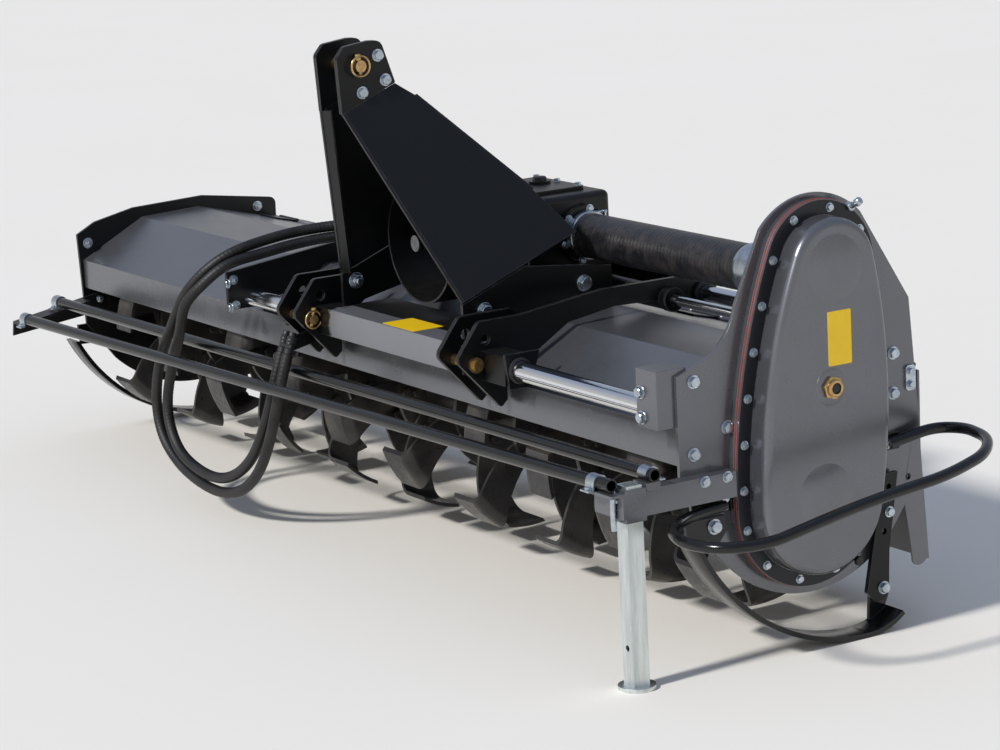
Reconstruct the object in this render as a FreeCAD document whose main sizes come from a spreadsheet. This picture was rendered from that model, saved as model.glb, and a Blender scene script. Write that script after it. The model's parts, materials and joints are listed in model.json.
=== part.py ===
import FreeCAD, Part
import math
import os
import re
import types

# A side-shift rotavator, in millimetres. The row frame has +Z up, +X along the width
# towards the gear case and +Y away from the tractor. z = 0 is the ground under the skids.
# The machine's own reference is the middle of the hood's front face: mid_x and front_y
# place it in the row frame, so that the origin lies under the middle of the whole part.

SIZES = (
    # alias, value, what it is
    ("mid_x", -106.3, "middle of the hood in the row frame"),
    ("front_y", -193.0, "front face of the hood in the row frame"),
    ("hood_width", 2660.0, "hood length between the side plates"),
    ("hood_sheet", 5.0, "hood sheet thickness"),
    ("hood_low_z", 383.0, "lower edge of the hood's front face"),
    ("hood_fold_z", 455.0, "fold above the front face"),
    ("hood_crown_y", 172.0, "front of the crown"),
    ("hood_crown_z", 545.0, "height of the crown's front fold"),
    ("hood_back_y", 333.0, "rear of the crown"),
    ("hood_back_z", 552.0, "height of the crown's rear fold"),
    ("hood_end_y", 538.0, "rear edge of the hood"),
    ("hood_end_z", 499.7, "height of the rear edge"),
    ("side_plate", 8.0, "side plate thickness"),
    ("rotor_y", 256.0, "rotor axis behind the hood front"),
    ("rotor_z", 286.0, "rotor axis height"),
    ("blade_tip", 250.0, "radius at the blade tips"),
    ("rotor_tube", 44.0, "rotor tube radius"),
    ("rotor_gap", 9.0, "rotor end to bearing"),
    ("flange_radius", 112.0, "blade flange radius"),
    ("flange_sheet", 12.0, "blade flange thickness"),
    ("flange_count", 11.0, "number of blade flanges"),
    ("flange_end", 130.0, "hood end to the middle of the last blade flange"),
    ("blade_sheet", 8.0, "blade thickness"),
    ("blade_reach", 100.0, "blade foot width along the rotor"),
    ("blade_bend", 26.0, "outer bend radius between a blade's leg and foot"),
    ("blade_step", 17.0, "turn from one flange's blades to the next, in degrees"),
    ("bearing_radius", 70.0, "rotor bearing housing radius"),
    ("bearing_depth", 30.0, "rotor bearing housing depth"),
    ("journal_radius", 25.0, "rotor journal radius"),
    ("bearing_play", 0.05, "radial clearance of the rotor journals"),
    ("shaft_y", 350.0, "upper drive shaft behind the hood front"),
    ("shaft_z", 684.0, "upper drive shaft height"),
    ("case_low_radius", 172.0, "lower radius of the gear case flange"),
    ("case_top_radius", 127.0, "upper radius of the gear case flange"),
    ("case_top_z", 733.0, "centre of the upper round of the gear case"),
    ("case_side_radius", 1240.0, "radius of the gear case's bowed sides"),
    ("case_depth", 20.0, "gear case depth outside the plate"),
    ("cover_flange", 5.0, "cover flange thickness"),
    ("cover_inset", 30.0, "pan inside the flange"),
    ("cover_depth", 50.0, "depth of the pressed pan"),
    ("cover_round", 16.0, "edge radius of the pan"),
    ("dome_radius", 64.0, "radius of the pressed domes"),
    ("dome_rise", 7.0, "rise of the pressed domes"),
    ("bar_radius", 20.5, "guide bar radius, front"),
    ("bar_y", -35.0, "front guide bar"),
    ("bar_z", 498.0, "front guide bar height"),
    ("rear_bar_radius", 17.5, "guide bar radius, rear"),
    ("rear_bar_y", 485.0, "rear guide bar"),
    ("rear_bar_z", 570.0, "rear guide bar height"),
    ("bush_play", 0.06, "radial running clearance on the guide bars"),
    ("shift_plate_x", -360.0, "left face of the shift end plate from the hood middle"),
    ("shift_plate", 10.0, "shift end plate thickness"),
    ("bracket_width", 66.0, "front bracket width at the right"),
    ("head_x", 324.0, "middle of the headstock from the hood middle, as parked"),
    ("box_side", 60.0, "front carriage tube, outside"),
    ("box_wall", 5.0, "front carriage tube wall"),
    ("box_left", 62.5, "front carriage tube past the left lug"),
    ("box_right", 87.5, "front carriage tube past the right lug"),
    ("end_plate", 8.0, "bush plate thickness"),
    ("lug_half", 341.5, "half the spacing of the lower lug pairs"),
    ("ear_half", 38.0, "lug ear from the middle of its pair"),
    ("ear_sheet", 12.0, "lug ear thickness"),
    ("lug_pin_radius", 11.0, "lower link pin radius"),
    ("lug_pin_y", -81.0, "lower link pin"),
    ("lug_pin_z", 502.0, "lower link pin height"),
    ("lug_hole_radius", 11.5, "spare upper lug hole"),
    ("lug_hole_y", -53.0, "spare upper lug hole"),
    ("lug_hole_z", 550.0, "spare upper lug hole height"),
    ("pin_play", 0.2, "radial clearance of the link pins"),
    ("base_half", 255.0, "base plate from the headstock middle"),
    ("base_sheet", 8.0, "base plate thickness"),
    ("tower_sheet", 6.0, "tower plate thickness"),
    ("tower_flange", 30.0, "tower flange width"),
    ("top_ear_half", 43.5, "top ear middle from the headstock middle"),
    ("top_ear_sheet", 12.0, "top ear thickness"),
    ("top_pin_radius", 12.5, "top link pin radius"),
    ("top_pin_y", -121.0, "top link pin"),
    ("top_pin_z", 1084.0, "top link pin height"),
    ("gearbox_half", 140.0, "gearbox half width"),
    ("gearbox_y", 215.0, "front face of the gearbox"),
    ("gearbox_length", 212.0, "gearbox length"),
    ("gearbox_z", 600.0, "gearbox bottom"),
    ("gearbox_height", 170.0, "gearbox height"),
    ("pto_z", 690.0, "power take-off shaft height"),
    ("pto_radius", 17.46, "power take-off stub radius"),
    ("pto_y", 20.0, "front end of the stub"),
    ("pto_guard_radius", 130.0, "power take-off guard radius"),
    ("pto_guard_wall", 4.0, "guard wall"),
    ("pto_guard_y", 30.0, "front of the guard"),
    ("bellows_radius", 48.0, "drive sleeve radius"),
    ("bellows_wall", 4.0, "drive sleeve wall"),
    ("drive_collar", 15.0, "length of the drive flange on the gearbox"),
    ("bell_length", 245.0, "length of the fixed tube at the gear case"),
    ("seat_gap", 0.3, "running gap of a turning part at its seat"),
    ("cylinder_y", 395.0, "hydraulic cylinder axis"),
    ("cylinder_z", 570.0, "hydraulic cylinder height"),
    ("barrel_radius", 24.0, "cylinder barrel radius"),
    ("barrel_bore", 18.0, "cylinder bore radius"),
    ("barrel_low", -224.0, "closed end of the barrel from the headstock middle"),
    ("barrel_length", 610.0, "barrel length"),
    ("gland_length", 24.0, "gland length"),
    ("rod_radius", 11.0, "cylinder rod radius"),
    ("rod_play", 0.06, "radial clearance in the gland"),
    ("rod_length", 830.0, "cylinder rod length"),
    ("guard_radius", 13.0, "front guard tube radius"),
    ("guard_front_y", -200.0, "front guard tube"),
    ("guard_rear_y", -118.0, "rear guard tube"),
    ("case_top_y", 294.0, "centre of the upper round of the gear case"),
    ("guard_wall", 3.0, "guard tube wall"),
    ("socket_side", 46.0, "stand socket, outside"),
    ("leg_side", 35.0, "stand leg, outside"),
    ("leg_wall", 4.0, "stand leg wall"),
    ("leg_play", 0.6, "clearance of the leg in its socket"),
    ("leg_hole", 6.0, "radius of the pin hole near the foot"),
    ("leg_hole_z", 80.0, "height of the pin hole near the foot"),
    ("stand_out", 24.0, "stand leg outside the right side plate"),
    ("stand_y", -160.0, "stand leg"),
    ("socket_low", 322.0, "bottom of the socket"),
    ("socket_top", 384.0, "top of the socket"),
    ("foot_radius", 36.0, "stand foot radius"),
    ("foot_sheet", 8.0, "stand foot thickness"),
    ("skid_width", 60.0, "skid strip width"),
    ("skid_sheet", 10.0, "skid strip thickness"),
    ("skid_y", 359.0, "lowest point of the skids"),
    ("skid_round", 440.0, "skid curve radius, outside"),
    ("skid_tail_round", 146.0, "radius of the upturned rear end of the skids, outside"),
    ("skid_tail", 38.0, "turn of the rear end of the skids, in degrees"),
    ("strap_sheet", 10.0, "skid strap thickness"),
    ("strap_pack", 8.0, "packing between the strap and the side plate"),
    ("strap_hole", 6.5, "radius of the spare adjusting holes"),
    ("loop_radius", 11.0, "side guard tube radius"),
    ("gate_sheet", 5.0, "levelling board thickness"),
    ("gate_hinge_radius", 9.0, "hinge tube radius"),
    ("gate_pin_radius", 5.0, "hinge pin radius"),
    ("gate_play", 0.1, "radial clearance on the hinge pin"),
    ("gate_end_gap", 8.0, "board end to side plate"),
    ("gate_hinge_y", 551.0, "hinge axis of the levelling board"),
    ("gate_hinge_z", 496.7, "height of the hinge axis"),
    ("knuckle", 90.0, "hinge knuckle length"),
    ("knuckle_end", 90.0, "hood end to the middle of the last knuckle"),
    ("knuckle_gap", 20.0, "gap between a knuckle of the hood and its neighbour on the board"),
    ("hose_radius", 12.5, "wrapped hose radius"),
    ("coupling_radius", 10.8, "hose coupling radius"),
)

doc = FreeCAD.newDocument("rotavator")
sheet = doc.addObject("Spreadsheet::Sheet", "sizes")
for row, (alias, value, meaning) in enumerate(SIZES, start=1):
    sheet.set(f"A{row}", meaning)
    sheet.set(f"B{row}", str(value))
    sheet.setAlias(f"B{row}", alias)
doc.recompute()
S = types.SimpleNamespace(**{alias: float(sheet.get(alias)) for alias, _, _ in SIZES})
V = FreeCAD.Vector
X_AXIS, Y_AXIS, Z_AXIS = V(1, 0, 0), V(0, 1, 0), V(0, 0, 1)
TURN = {"x": FreeCAD.Rotation(Z_AXIS, X_AXIS), "y": FreeCAD.Rotation(Z_AXIS, Y_AXIS),
        "z": FreeCAD.Rotation()}
NODES = {}


def term(text):
    """An expression in which each alias stands for its cell."""
    return re.sub(r"[a-z_]+", lambda m: f"sizes.{m.group()}" if hasattr(S, m.group()) else m.group(), text)


def bind(obj, **terms):
    for prop, text in terms.items():
        obj.setExpression(prop, term(text))


def place(obj, at):
    for axis, text in zip("xyz", at):
        obj.setExpression(f"Placement.Base.{axis}", term(text))
    return obj


def node(label, obj):
    """Names a sub-part: its label is its file's name."""
    obj.Label = label
    NODES[label] = obj
    return obj


def box(at, sides):
    """A box from its low corner and its three sides, all as terms of the sheet."""
    obj = place(doc.addObject("Part::Box", "box"), at)
    bind(obj, Length=sides[0], Width=sides[1], Height=sides[2])
    return obj


def rod(at, radius, length, axis="x"):
    """A cylinder that starts at a point and runs along an axis."""
    obj = doc.addObject("Part::Cylinder", "rod")
    obj.Placement = FreeCAD.Placement(V(), TURN[axis])
    place(obj, at)
    bind(obj, Radius=radius, Height=length)
    return obj


def fuse(*parts):
    obj = doc.addObject("Part::MultiFuse", "joined")
    obj.Shapes = list(parts)
    return obj


def group(*parts):
    """Like pieces that don't touch, kept as separate solids of one node."""
    obj = doc.addObject("Part::Compound", "pieces")
    obj.Links = list(parts)
    return obj


def cut(base, *tools):
    obj = doc.addObject("Part::Cut", "cut")
    obj.Base = base
    obj.Tool = tools[0] if len(tools) == 1 else fuse(*tools)
    return obj


def solid(shape):
    """A piece whose shape is worked out from the sheet's values."""
    obj = doc.addObject("Part::Feature", "shaped")
    obj.Shape = shape
    return obj


def tube(at, radius, wall, length, axis="x"):
    return cut(rod(at, radius, length, axis), rod(at, f"{radius} - ({wall})", length, axis))


def slab(x_term, thickness, outline):
    """A plate across X: a padded sketch of its outline, given as (y, z) behind the hood front."""
    body = doc.addObject("PartDesign::Body", "plate")
    plane = next(f for f in body.Origin.OriginFeatures if f.Role == "YZ_Plane")
    sketch = body.newObject("Sketcher::SketchObject", "outline")
    sketch.AttachmentSupport = [(plane, "")]
    sketch.MapMode = "FlatFace"
    sketch.setExpression("AttachmentOffset.Base.z", term(x_term))
    sketch.setExpression("AttachmentOffset.Base.x", term("front_y"))
    start = outline[0]
    for step in list(outline[1:]) + [outline[0]]:
        if isinstance(step[0], tuple):
            middle, end = step
            sketch.addGeometry(Part.Arc(V(*start, 0), V(*middle, 0), V(*end, 0)))
            start = end
        elif step != start:
            sketch.addGeometry(Part.LineSegment(V(*start, 0), V(*step, 0)))
            start = step
    pad = body.newObject("PartDesign::Pad", "pad")
    pad.Profile = sketch
    pad.setExpression("Length", term(thickness))
    body.Tip = pad
    return body


def eased(outline, rounds):
    """The outline with straight corners rounded, given as corner number and radius."""
    steps = []
    for i, corner in enumerate(outline):
        if i not in rounds:
            steps.append(corner)
            continue
        here = V(*corner, 0)
        back, on = V(*outline[i - 1], 0) - here, V(*outline[(i + 1) % len(outline)], 0) - here
        half = back.getAngle(on) / 2
        back.normalize()
        on.normalize()
        inwards = back + on
        inwards.normalize()
        middle = here + inwards * (rounds[i] / math.sin(half) - rounds[i])
        first, last = here + back * (rounds[i] / math.tan(half)), here + on * (rounds[i] / math.tan(half))
        steps += [(first.x, first.y), ((middle.x, middle.y), (last.x, last.y))]
    return steps


def inset(points, depth):
    """The line of points moved sideways by a depth, with mitred corners: to the right of its run."""
    moved = []
    for i, point in enumerate(points):
        sides = []
        for a, b in ((i - 1, i), (i, i + 1)):
            if 0 <= a and b < len(points):
                run = V(*points[b], 0) - V(*points[a], 0)
                run.normalize()
                sides.append(V(run.y, -run.x, 0))
        mitre = sides[0] + sides[-1]
        mitre.multiply(2.0 / mitre.dot(mitre))
        corner = V(*point, 0) + mitre * depth
        moved.append((corner.x, corner.y))
    return moved


def bent_strip(points, depth):
    """The closed outline of a bent sheet whose outer face runs through the points."""
    return list(points) + inset(points, depth)[::-1]


def point(x, y, z):
    """A point given from the hood's middle front, in the row frame."""
    return V(S.mid_x + x, S.front_y + y, z)


def run_tube(points, radius):
    """A round tube along straight runs joined by tangent arcs, with its length and the arcs' radii."""
    spots = [point(*p) for p in points]
    path, bends, start = [], [], spots[0]
    for i in range(1, len(spots) - 1):
        into, out = spots[i] - spots[i - 1], spots[i + 1] - spots[i]
        half = into.getAngle(out) / 2
        back = 0.45 * min(into.Length, out.Length)
        bend = back / math.tan(half)
        bends.append(bend)
        into.normalize()
        out.normalize()
        first, last = spots[i] - into * back, spots[i] + out * back
        to_middle = (out - into)
        to_middle.normalize()
        middle = spots[i] + to_middle * (bend / math.cos(half) - bend)
        path += [Part.LineSegment(start, first).toShape(), Part.Arc(first, middle, last).toShape()]
        start = last
    path.append(Part.LineSegment(start, spots[-1]).toShape())
    wire = Part.Wire(path)
    ring = Part.Wire(Part.Circle(spots[0], spots[1] - spots[0], radius).toShape())
    return wire.makePipeShell([ring], True, False), wire.Length, bends


# Hood: one bent sheet between the side plates
HOOD_LINE = ((0, S.hood_low_z), (0, S.hood_fold_z), (S.hood_crown_y, S.hood_crown_z),
             (S.hood_back_y, S.hood_back_z), (S.hood_end_y, S.hood_end_z))
node("hood", slab("mid_x - hood_width / 2", "hood_width", bent_strip(HOOD_LINE, S.hood_sheet)))

# Side plates
LEFT_PLATE = eased(((-12, 521), (40, 548), (150, 571), (350, 578), (562, 547), (560, 400), (520, 190),
                    ((S.rotor_y, 98), (70, 190)), (-4, 290), (-6, 350)), {4: 18})
RIGHT_PLATE = eased(((-28, 375), (-28, 565), (43, 591), ((80, 620), (112, 682)), (175, 815),
                     ((290, 870), (412, 820)), (524, 638), (540, 430), (546, 320), (524, 258), (474, 190),
                     ((S.rotor_y, 98), (70, 190)), (5, 250), (-10, 340)), {9: 20})
for name, start, outline in (("left", "mid_x - hood_width / 2 - side_plate", LEFT_PLATE),
                             ("right", "mid_x + hood_width / 2", RIGHT_PLATE)):
    spare_hole = rod((start, "front_y + 512", "283"), "strap_hole", "side_plate")
    node(f"{name}_side_plate", cut(slab(start, "side_plate", outline), spare_hole))


def case_outline(inside):
    """The gear case seen from the right: two rounds and two bowed sides, all tangent to each other."""
    low, top, side = S.case_low_radius - inside, S.case_top_radius - inside, S.case_side_radius - inside
    foot, head = V(S.rotor_y, S.rotor_z + 4, 0), V(S.case_top_y, S.case_top_z, 0)
    run = head - foot
    along = (run.Length ** 2 + (side - low) ** 2 - (side - top) ** 2) / (2 * run.Length)
    away = math.sqrt((side - low) ** 2 - along ** 2)
    run.normalize()
    across = V(run.y, -run.x, 0)
    spots = []
    for hand in (1, -1):
        centre = foot + run * along + across * away * hand
        ends = []
        for middle, radius in ((foot, low), (head, top)):
            out = middle - centre
            out.normalize()
            ends.append(middle + out * radius)
        out = (ends[0] + ends[1]) / 2 - centre
        out.normalize()
        spots.append((ends[0], centre + out * side, ends[1]))
    (front_low, front_mid, front_top), (back_low, back_mid, back_top) = [
        [(spot.x, spot.y) for spot in line] for line in spots]
    summit, bottom = head + run * top, foot - run * low
    return (front_low, (front_mid, front_top), ((summit.x, summit.y), back_top), (back_mid, back_low),
            ((bottom.x, bottom.y), front_low))


OUTER = "mid_x + hood_width / 2 + side_plate"
node("gear_case", slab(OUTER, "case_depth", case_outline(0)))
flange = slab(f"{OUTER} + case_depth", "cover_flange", case_outline(0))
pan = slab(f"{OUTER} + case_depth + cover_flange", "cover_depth", case_outline(S.cover_inset))
doc.recompute()
face_x = S.mid_x + S.hood_width / 2 + S.side_plate + S.case_depth + S.cover_flange + S.cover_depth
pan_pad = pan.Tip
rim = [f"Edge{i}" for i, edge in enumerate(pan_pad.Shape.Edges, start=1)
       if all(abs(v.X - face_x) < 0.01 for v in edge.Vertexes)]
rounded = pan.newObject("PartDesign::Fillet", "edge")
rounded.Base = (pan_pad, rim)
rounded.setExpression("Radius", term("cover_round"))
pan.Tip = rounded


def dome(y, z):
    """A shallow pressed dome on the pan's face."""
    ball = (S.dome_radius ** 2 + S.dome_rise ** 2) / (2 * S.dome_rise)
    centre = V(face_x + S.dome_rise - ball, S.front_y + y, z)
    cap = Part.makeSphere(ball, centre)
    corner = V(face_x - 1.0, centre.y - 2 * ball, centre.z - 2 * ball)
    half = Part.makeBox(2 * ball, 4 * ball, 4 * ball, corner)
    return solid(cap.common(half))


domes = dome(S.case_top_y - 4, S.case_top_z + 4), dome(S.rotor_y - 2, S.rotor_z + 16)
node("gear_cover", fuse(flange, pan, *domes))

# Guide bars, their seats and the cylinder rod on the housing
LEFT_SEAT = "mid_x + shift_plate_x + shift_plate"
RIGHT_INNER = "mid_x + hood_width / 2"
SHIFT_PLATE = eased(((-88, 557.5), (-88, 470), (0, 470), (0, S.hood_fold_z),
                     (S.hood_crown_y, S.hood_crown_z), (S.hood_back_y, S.hood_back_z), (530, 501.8),
                     (520, 594), (188, 590)), {0: 8})
node("shift_plate", slab("mid_x + shift_plate_x", "shift_plate", SHIFT_PLATE))
node("front_bar", rod((LEFT_SEAT, "front_y + bar_y", "bar_z"), "bar_radius",
                      "hood_width / 2 - bracket_width - shift_plate_x - shift_plate"))
node("rear_bar", rod((LEFT_SEAT, "front_y + rear_bar_y", "rear_bar_z"), "rear_bar_radius",
                     "hood_width / 2 - shift_plate_x - shift_plate"))
node("bar_bracket", box((f"{RIGHT_INNER} - bracket_width", "front_y - 68", "468"),
                        ("bracket_width", "68", "112")))
node("cylinder_rod", rod((f"{RIGHT_INNER} - rod_length", "front_y + cylinder_y", "cylinder_z"), "rod_radius",
                         "rod_length"))

# Headstock: carriage tube, bush plates, lugs
HEAD = "mid_x + head_x"
BOX_Y = "front_y + bar_y - box_side / 2"
LUG_OUTER = "lug_half + ear_half + ear_sheet / 2"
BOX_START, BOX_END = f"{HEAD} - ({LUG_OUTER}) - box_left", f"{HEAD} + {LUG_OUTER} + box_right"
BOX_LENGTH = f"2 * ({LUG_OUTER}) + box_left + box_right"
outside = box((BOX_START, BOX_Y, "bar_z - box_side / 2"), (BOX_LENGTH, "box_side", "box_side"))
inside = box((BOX_START, f"{BOX_Y} + box_wall", "bar_z - box_side / 2 + box_wall"),
             (BOX_LENGTH, "box_side - 2 * box_wall", "box_side - 2 * box_wall"))
HOLDER = ((-20, 468), (-62, 468), (-100, 462), (-114, 462), (-128, 430), (-118, 426), (-20, 446))
hose_holder = slab("mid_x - 20.5", "6", HOLDER)
node("carriage_tube", fuse(cut(outside, inside), hose_holder))
END_PLATE = ((-60, 462), (-68, 534), (14, 534), (-4, 476), (-8, 462))
bushes = []
for start in (f"{BOX_START} - end_plate", BOX_END):
    bore = rod((start, "front_y + bar_y", "bar_z"), "bar_radius + bush_play", "end_plate")
    bushes.append(cut(slab(start, "end_plate", END_PLATE), bore))
node("bush_plates", group(*bushes))

NOTCH = S.barrel_radius + S.seat_gap
ARM = eased(((-123, 514), (-66, 588), (30, 588), (234, 612), (520, 612), (520, 545), (440, 545),
             (430, S.cylinder_z), (S.cylinder_y + NOTCH, S.cylinder_z),
             ((S.cylinder_y, S.cylinder_z + NOTCH), (S.cylinder_y - NOTCH, S.cylinder_z)),
             (350, S.cylinder_z), (264, 573), (147, 556), (82, 517), (-7, 462), (-7, 420), (-23, 405)),
            {0: 18, 1: 16, 4: 20, 16: 6})
EAR = eased(((-123, 514), (-66, 588), (70, 588), (70, 540), (-7, 462), (-7, 420), (-23, 405)),
            {0: 18, 1: 16, 2: 16, 6: 6})
lugs = []
for side in (-1, 1):
    for ear_side in (-1, 1):
        start = f"{HEAD} + {side} * lug_half + {ear_side} * ear_half - ear_sheet / 2"
        blank = slab(start, "ear_sheet", ARM if side == ear_side else EAR)
        holes = [rod((start, "front_y + lug_pin_y", "lug_pin_z"), "lug_pin_radius + pin_play", "ear_sheet"),
                 rod((start, "front_y + lug_hole_y", "lug_hole_z"), "lug_hole_radius", "ear_sheet"),
                 box((start, BOX_Y, "bar_z - box_side / 2"), ("ear_sheet", "box_side", "box_side"))]
        if side == ear_side:
            holes.append(rod((start, "front_y + rear_bar_y", "rear_bar_z"), "rear_bar_radius + bush_play",
                             "ear_sheet"))
        lugs.append(cut(blank, *holes))
node("lug_plates", group(*lugs))

pins = []
for side in (-1, 1):
    start = f"{HEAD} + {side} * lug_half - ear_half - ear_sheet / 2"
    length = "2 * ear_half + ear_sheet"
    shank = rod((f"{start} - 16", "front_y + lug_pin_y", "lug_pin_z"), "lug_pin_radius", f"{length} + 32")
    head_at = f"{start} + {length} + 1" if side > 0 else f"{start} - 9"
    pins.append(fuse(shank, rod((head_at, "front_y + lug_pin_y", "lug_pin_z"), "lug_pin_radius + 5", "8")))
node("lug_pins", group(*pins))

# Headstock: base plates, cross members
BASE = ((-24, S.bar_z + S.box_side / 2), (-10, S.bar_z + S.box_side / 2), (150, 562), (345, 562), (345, 632),
        (290, 640), (130, 658), (-12, 603.4), (-24, 599))
bases = [slab(f"{HEAD} + {side} * base_half - ({side} + 1) / 2 * base_sheet", "base_sheet", BASE)
         for side in (-1, 1)]
node("base_plates", group(*bases))
node("gearbox_bed", box((f"{HEAD} - base_half + base_sheet", "front_y + 225", "gearbox_z - 12"),
                        ("2 * base_half - 2 * base_sheet", "120", "12")))
REAR_BEAM_Y = "front_y + 432"
ARM_INNER = "lug_half + ear_half - ear_sheet / 2"
rear_beam = box((f"{HEAD} - ({ARM_INNER})", REAR_BEAM_Y, "582"), (f"2 * ({ARM_INNER})", "30", "30"))
barrel_lug = box((f"{HEAD} + barrel_low - 12", "front_y + cylinder_y - 20", "cylinder_z - 12"),
                 ("12", "57", "42"))
node("rear_beam", fuse(rear_beam, barrel_lug))

# Deck behind the carriage tube
node("deck_plate", box((f"{HEAD} - base_half", f"{BOX_Y} + box_side", "bar_z + box_side / 2 - 6"),
                       ("2 * base_half", "110", "6")))

# Tower: two leaning plates with flanges bent inwards along their front and top edges
TOWER_TOP = (50, -162, 988)
TOWER_LOW = (S.base_half, -24, 602)
TOWER_BACK = (S.base_half, 262, 714)
TOWER_LINE = ((-24, 602), (-162, 988), (-35, 1040), (2, 1012), (194, 804), (262, 714))
TOWER_FLANGES = (((-24, 602), (-162, 988), (-1.0, 0.35, 0.0)), ((2, 1012), (194, 804), (-1.0, -0.3, -0.45)))


def tower_point(y, z, side):
    """A point of a tower plate's outer plane, which holds the three corners above."""
    across = (V(*TOWER_LOW) - V(*TOWER_TOP)).cross(V(*TOWER_BACK) - V(*TOWER_TOP))
    x = TOWER_TOP[0] - (across.y * (y - TOWER_TOP[1]) + across.z * (z - TOWER_TOP[2])) / across.x
    return point(S.head_x + side * x, y, z)


def sheet_towards(corners, depth, towards):
    """A flat sheet on the given corners, thickened to the side on which a point lies."""
    normal = (corners[1] - corners[0]).cross(corners[2] - corners[1])
    normal.normalize()
    if normal.dot(towards - corners[0]) < 0:
        normal = -normal
    return Part.Face(Part.makePolygon(list(corners) + [corners[0]])).extrude(normal * depth)


towers = []
for side in (-1, 1):
    middle = point(S.head_x, 120, 740)
    shape = sheet_towards([tower_point(y, z, side) for y, z in TOWER_LINE], S.tower_sheet, middle)
    for low, high, lean in TOWER_FLANGES:
        foot, head = tower_point(*low, side), tower_point(*high, side)
        reach = V(lean[0] * side, lean[1], lean[2])
        reach.normalize()
        reach = reach * S.tower_flange
        shape = shape.fuse(sheet_towards([foot, head, head + reach, foot + reach], S.tower_sheet, middle))
    towers.append(solid(shape.removeSplitter()))
node("tower_plates", group(*towers))

TOP_EAR = eased(((-169, 1104), (-150, 1126), (-91, 1133), (-63, 1131), (-34, 1043), (-36, 1040.1),
                 (-163, 988.1)),
                {0: 14, 1: 14, 3: 20})
ears = []
for side in (-1, 1):
    start = f"{HEAD} + {side} * top_ear_half - top_ear_sheet / 2"
    bore = rod((start, "front_y + top_pin_y", "top_pin_z"), "top_pin_radius + pin_play", "top_ear_sheet")
    ears.append(cut(slab(start, "top_ear_sheet", TOP_EAR), bore))
node("top_ears", group(*ears))
SPACERS = ((-74, 1102), (-62, 1052), (-112, 1026))
node("ear_spacers", group(*[
    rod((f"{HEAD} - top_ear_half + top_ear_sheet / 2", f"front_y + {y}", str(z)), "10",
        "2 * top_ear_half - top_ear_sheet") for y, z in SPACERS]))
top_start = f"{HEAD} - top_ear_half - top_ear_sheet / 2"
top_shank = rod((f"{top_start} - 20", "front_y + top_pin_y", "top_pin_z"), "top_pin_radius",
                "2 * top_ear_half + top_ear_sheet + 36")
top_head = rod((f"{top_start} - 28", "front_y + top_pin_y", "top_pin_z"), "top_pin_radius + 4", "8")
node("top_pin", fuse(top_shank, top_head))

# Gearbox with its cap, drive flange, shaft guard and stub
gearbox = box((f"{HEAD} - gearbox_half", "front_y + gearbox_y", "gearbox_z"),
              ("2 * gearbox_half", "gearbox_length", "gearbox_height"))
doc.recompute()
soft = doc.addObject("Part::Fillet", "soft")
soft.Base = gearbox
soft.Edges = [(i, 14.0, 14.0) for i, e in enumerate(gearbox.Shape.Edges, start=1)
              if min(v.Z for v in e.Vertexes) > S.gearbox_z + 1 or e.Length == S.gearbox_height]
cap = rod((f"{HEAD} - 10", "front_y + gearbox_y + 130", "gearbox_z + gearbox_height"), "24", "14", "z")
drive_flange = rod((f"{HEAD} + gearbox_half", "front_y + shaft_y", "shaft_z"), "bellows_radius + 12",
                   "drive_collar")
node("gearbox", fuse(soft, cap, drive_flange))
SLEEVE = f"{HEAD} + gearbox_half + drive_collar"
node("drive_sleeve", tube((SLEEVE, "front_y + shaft_y", "shaft_z"), "bellows_radius", "bellows_wall",
                          "hood_width / 2 - head_x - gearbox_half - drive_collar - bell_length"))
node("drive_bell", rod((f"{RIGHT_INNER} - bell_length", "front_y + shaft_y", "shaft_z"),
                       "bellows_radius + 7", "bell_length"))
node("pto_guard", tube((HEAD, "front_y + pto_guard_y", "pto_z"), "pto_guard_radius", "pto_guard_wall",
                       "gearbox_y - pto_guard_y", "y"))
stub = rod((HEAD, "front_y + pto_y", "pto_z"), "pto_radius", "gearbox_y - pto_y - seat_gap", "y")
collar = rod((HEAD, "front_y + gearbox_y - seat_gap - 95", "pto_z"), "30", "95", "y")
node("pto_stub", fuse(stub, collar))

# Hydraulic barrel on the headstock
BARREL = (f"{HEAD} + barrel_low", "front_y + cylinder_y", "cylinder_z")
bored = rod((f"{HEAD} + barrel_low + 12", "front_y + cylinder_y", "cylinder_z"), "barrel_bore",
            "barrel_length - 12")
GLAND = (f"{HEAD} + barrel_low + barrel_length", "front_y + cylinder_y", "cylinder_z")
gland = cut(rod(GLAND, "barrel_radius + 1", "gland_length"),
            rod(GLAND, "rod_radius + rod_play", "gland_length"))
PORTS = ((112, 632), (150, 660))
ports = []
for x, z in PORTS:
    ports.append(rod((f"mid_x + {x}", "front_y + cylinder_y", "cylinder_z + barrel_radius - 3"), "10",
                     f"{z} - cylinder_z - barrel_radius + 13", "z"))
    ports.append(rod((f"mid_x + {x - 30}", "front_y + cylinder_y", str(z)), "10", "30"))
node("cylinder_barrel", fuse(cut(rod(BARREL, "barrel_radius", "barrel_length"), bored), gland, *ports))

# Front guard: two tubes on two arms
def straight_tube(start, end, radius, wall):
    run = end - start
    outer = Part.makeCylinder(radius, run.Length, start, run)
    return outer.cut(Part.makeCylinder(radius - wall, run.Length, start, run))


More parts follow.
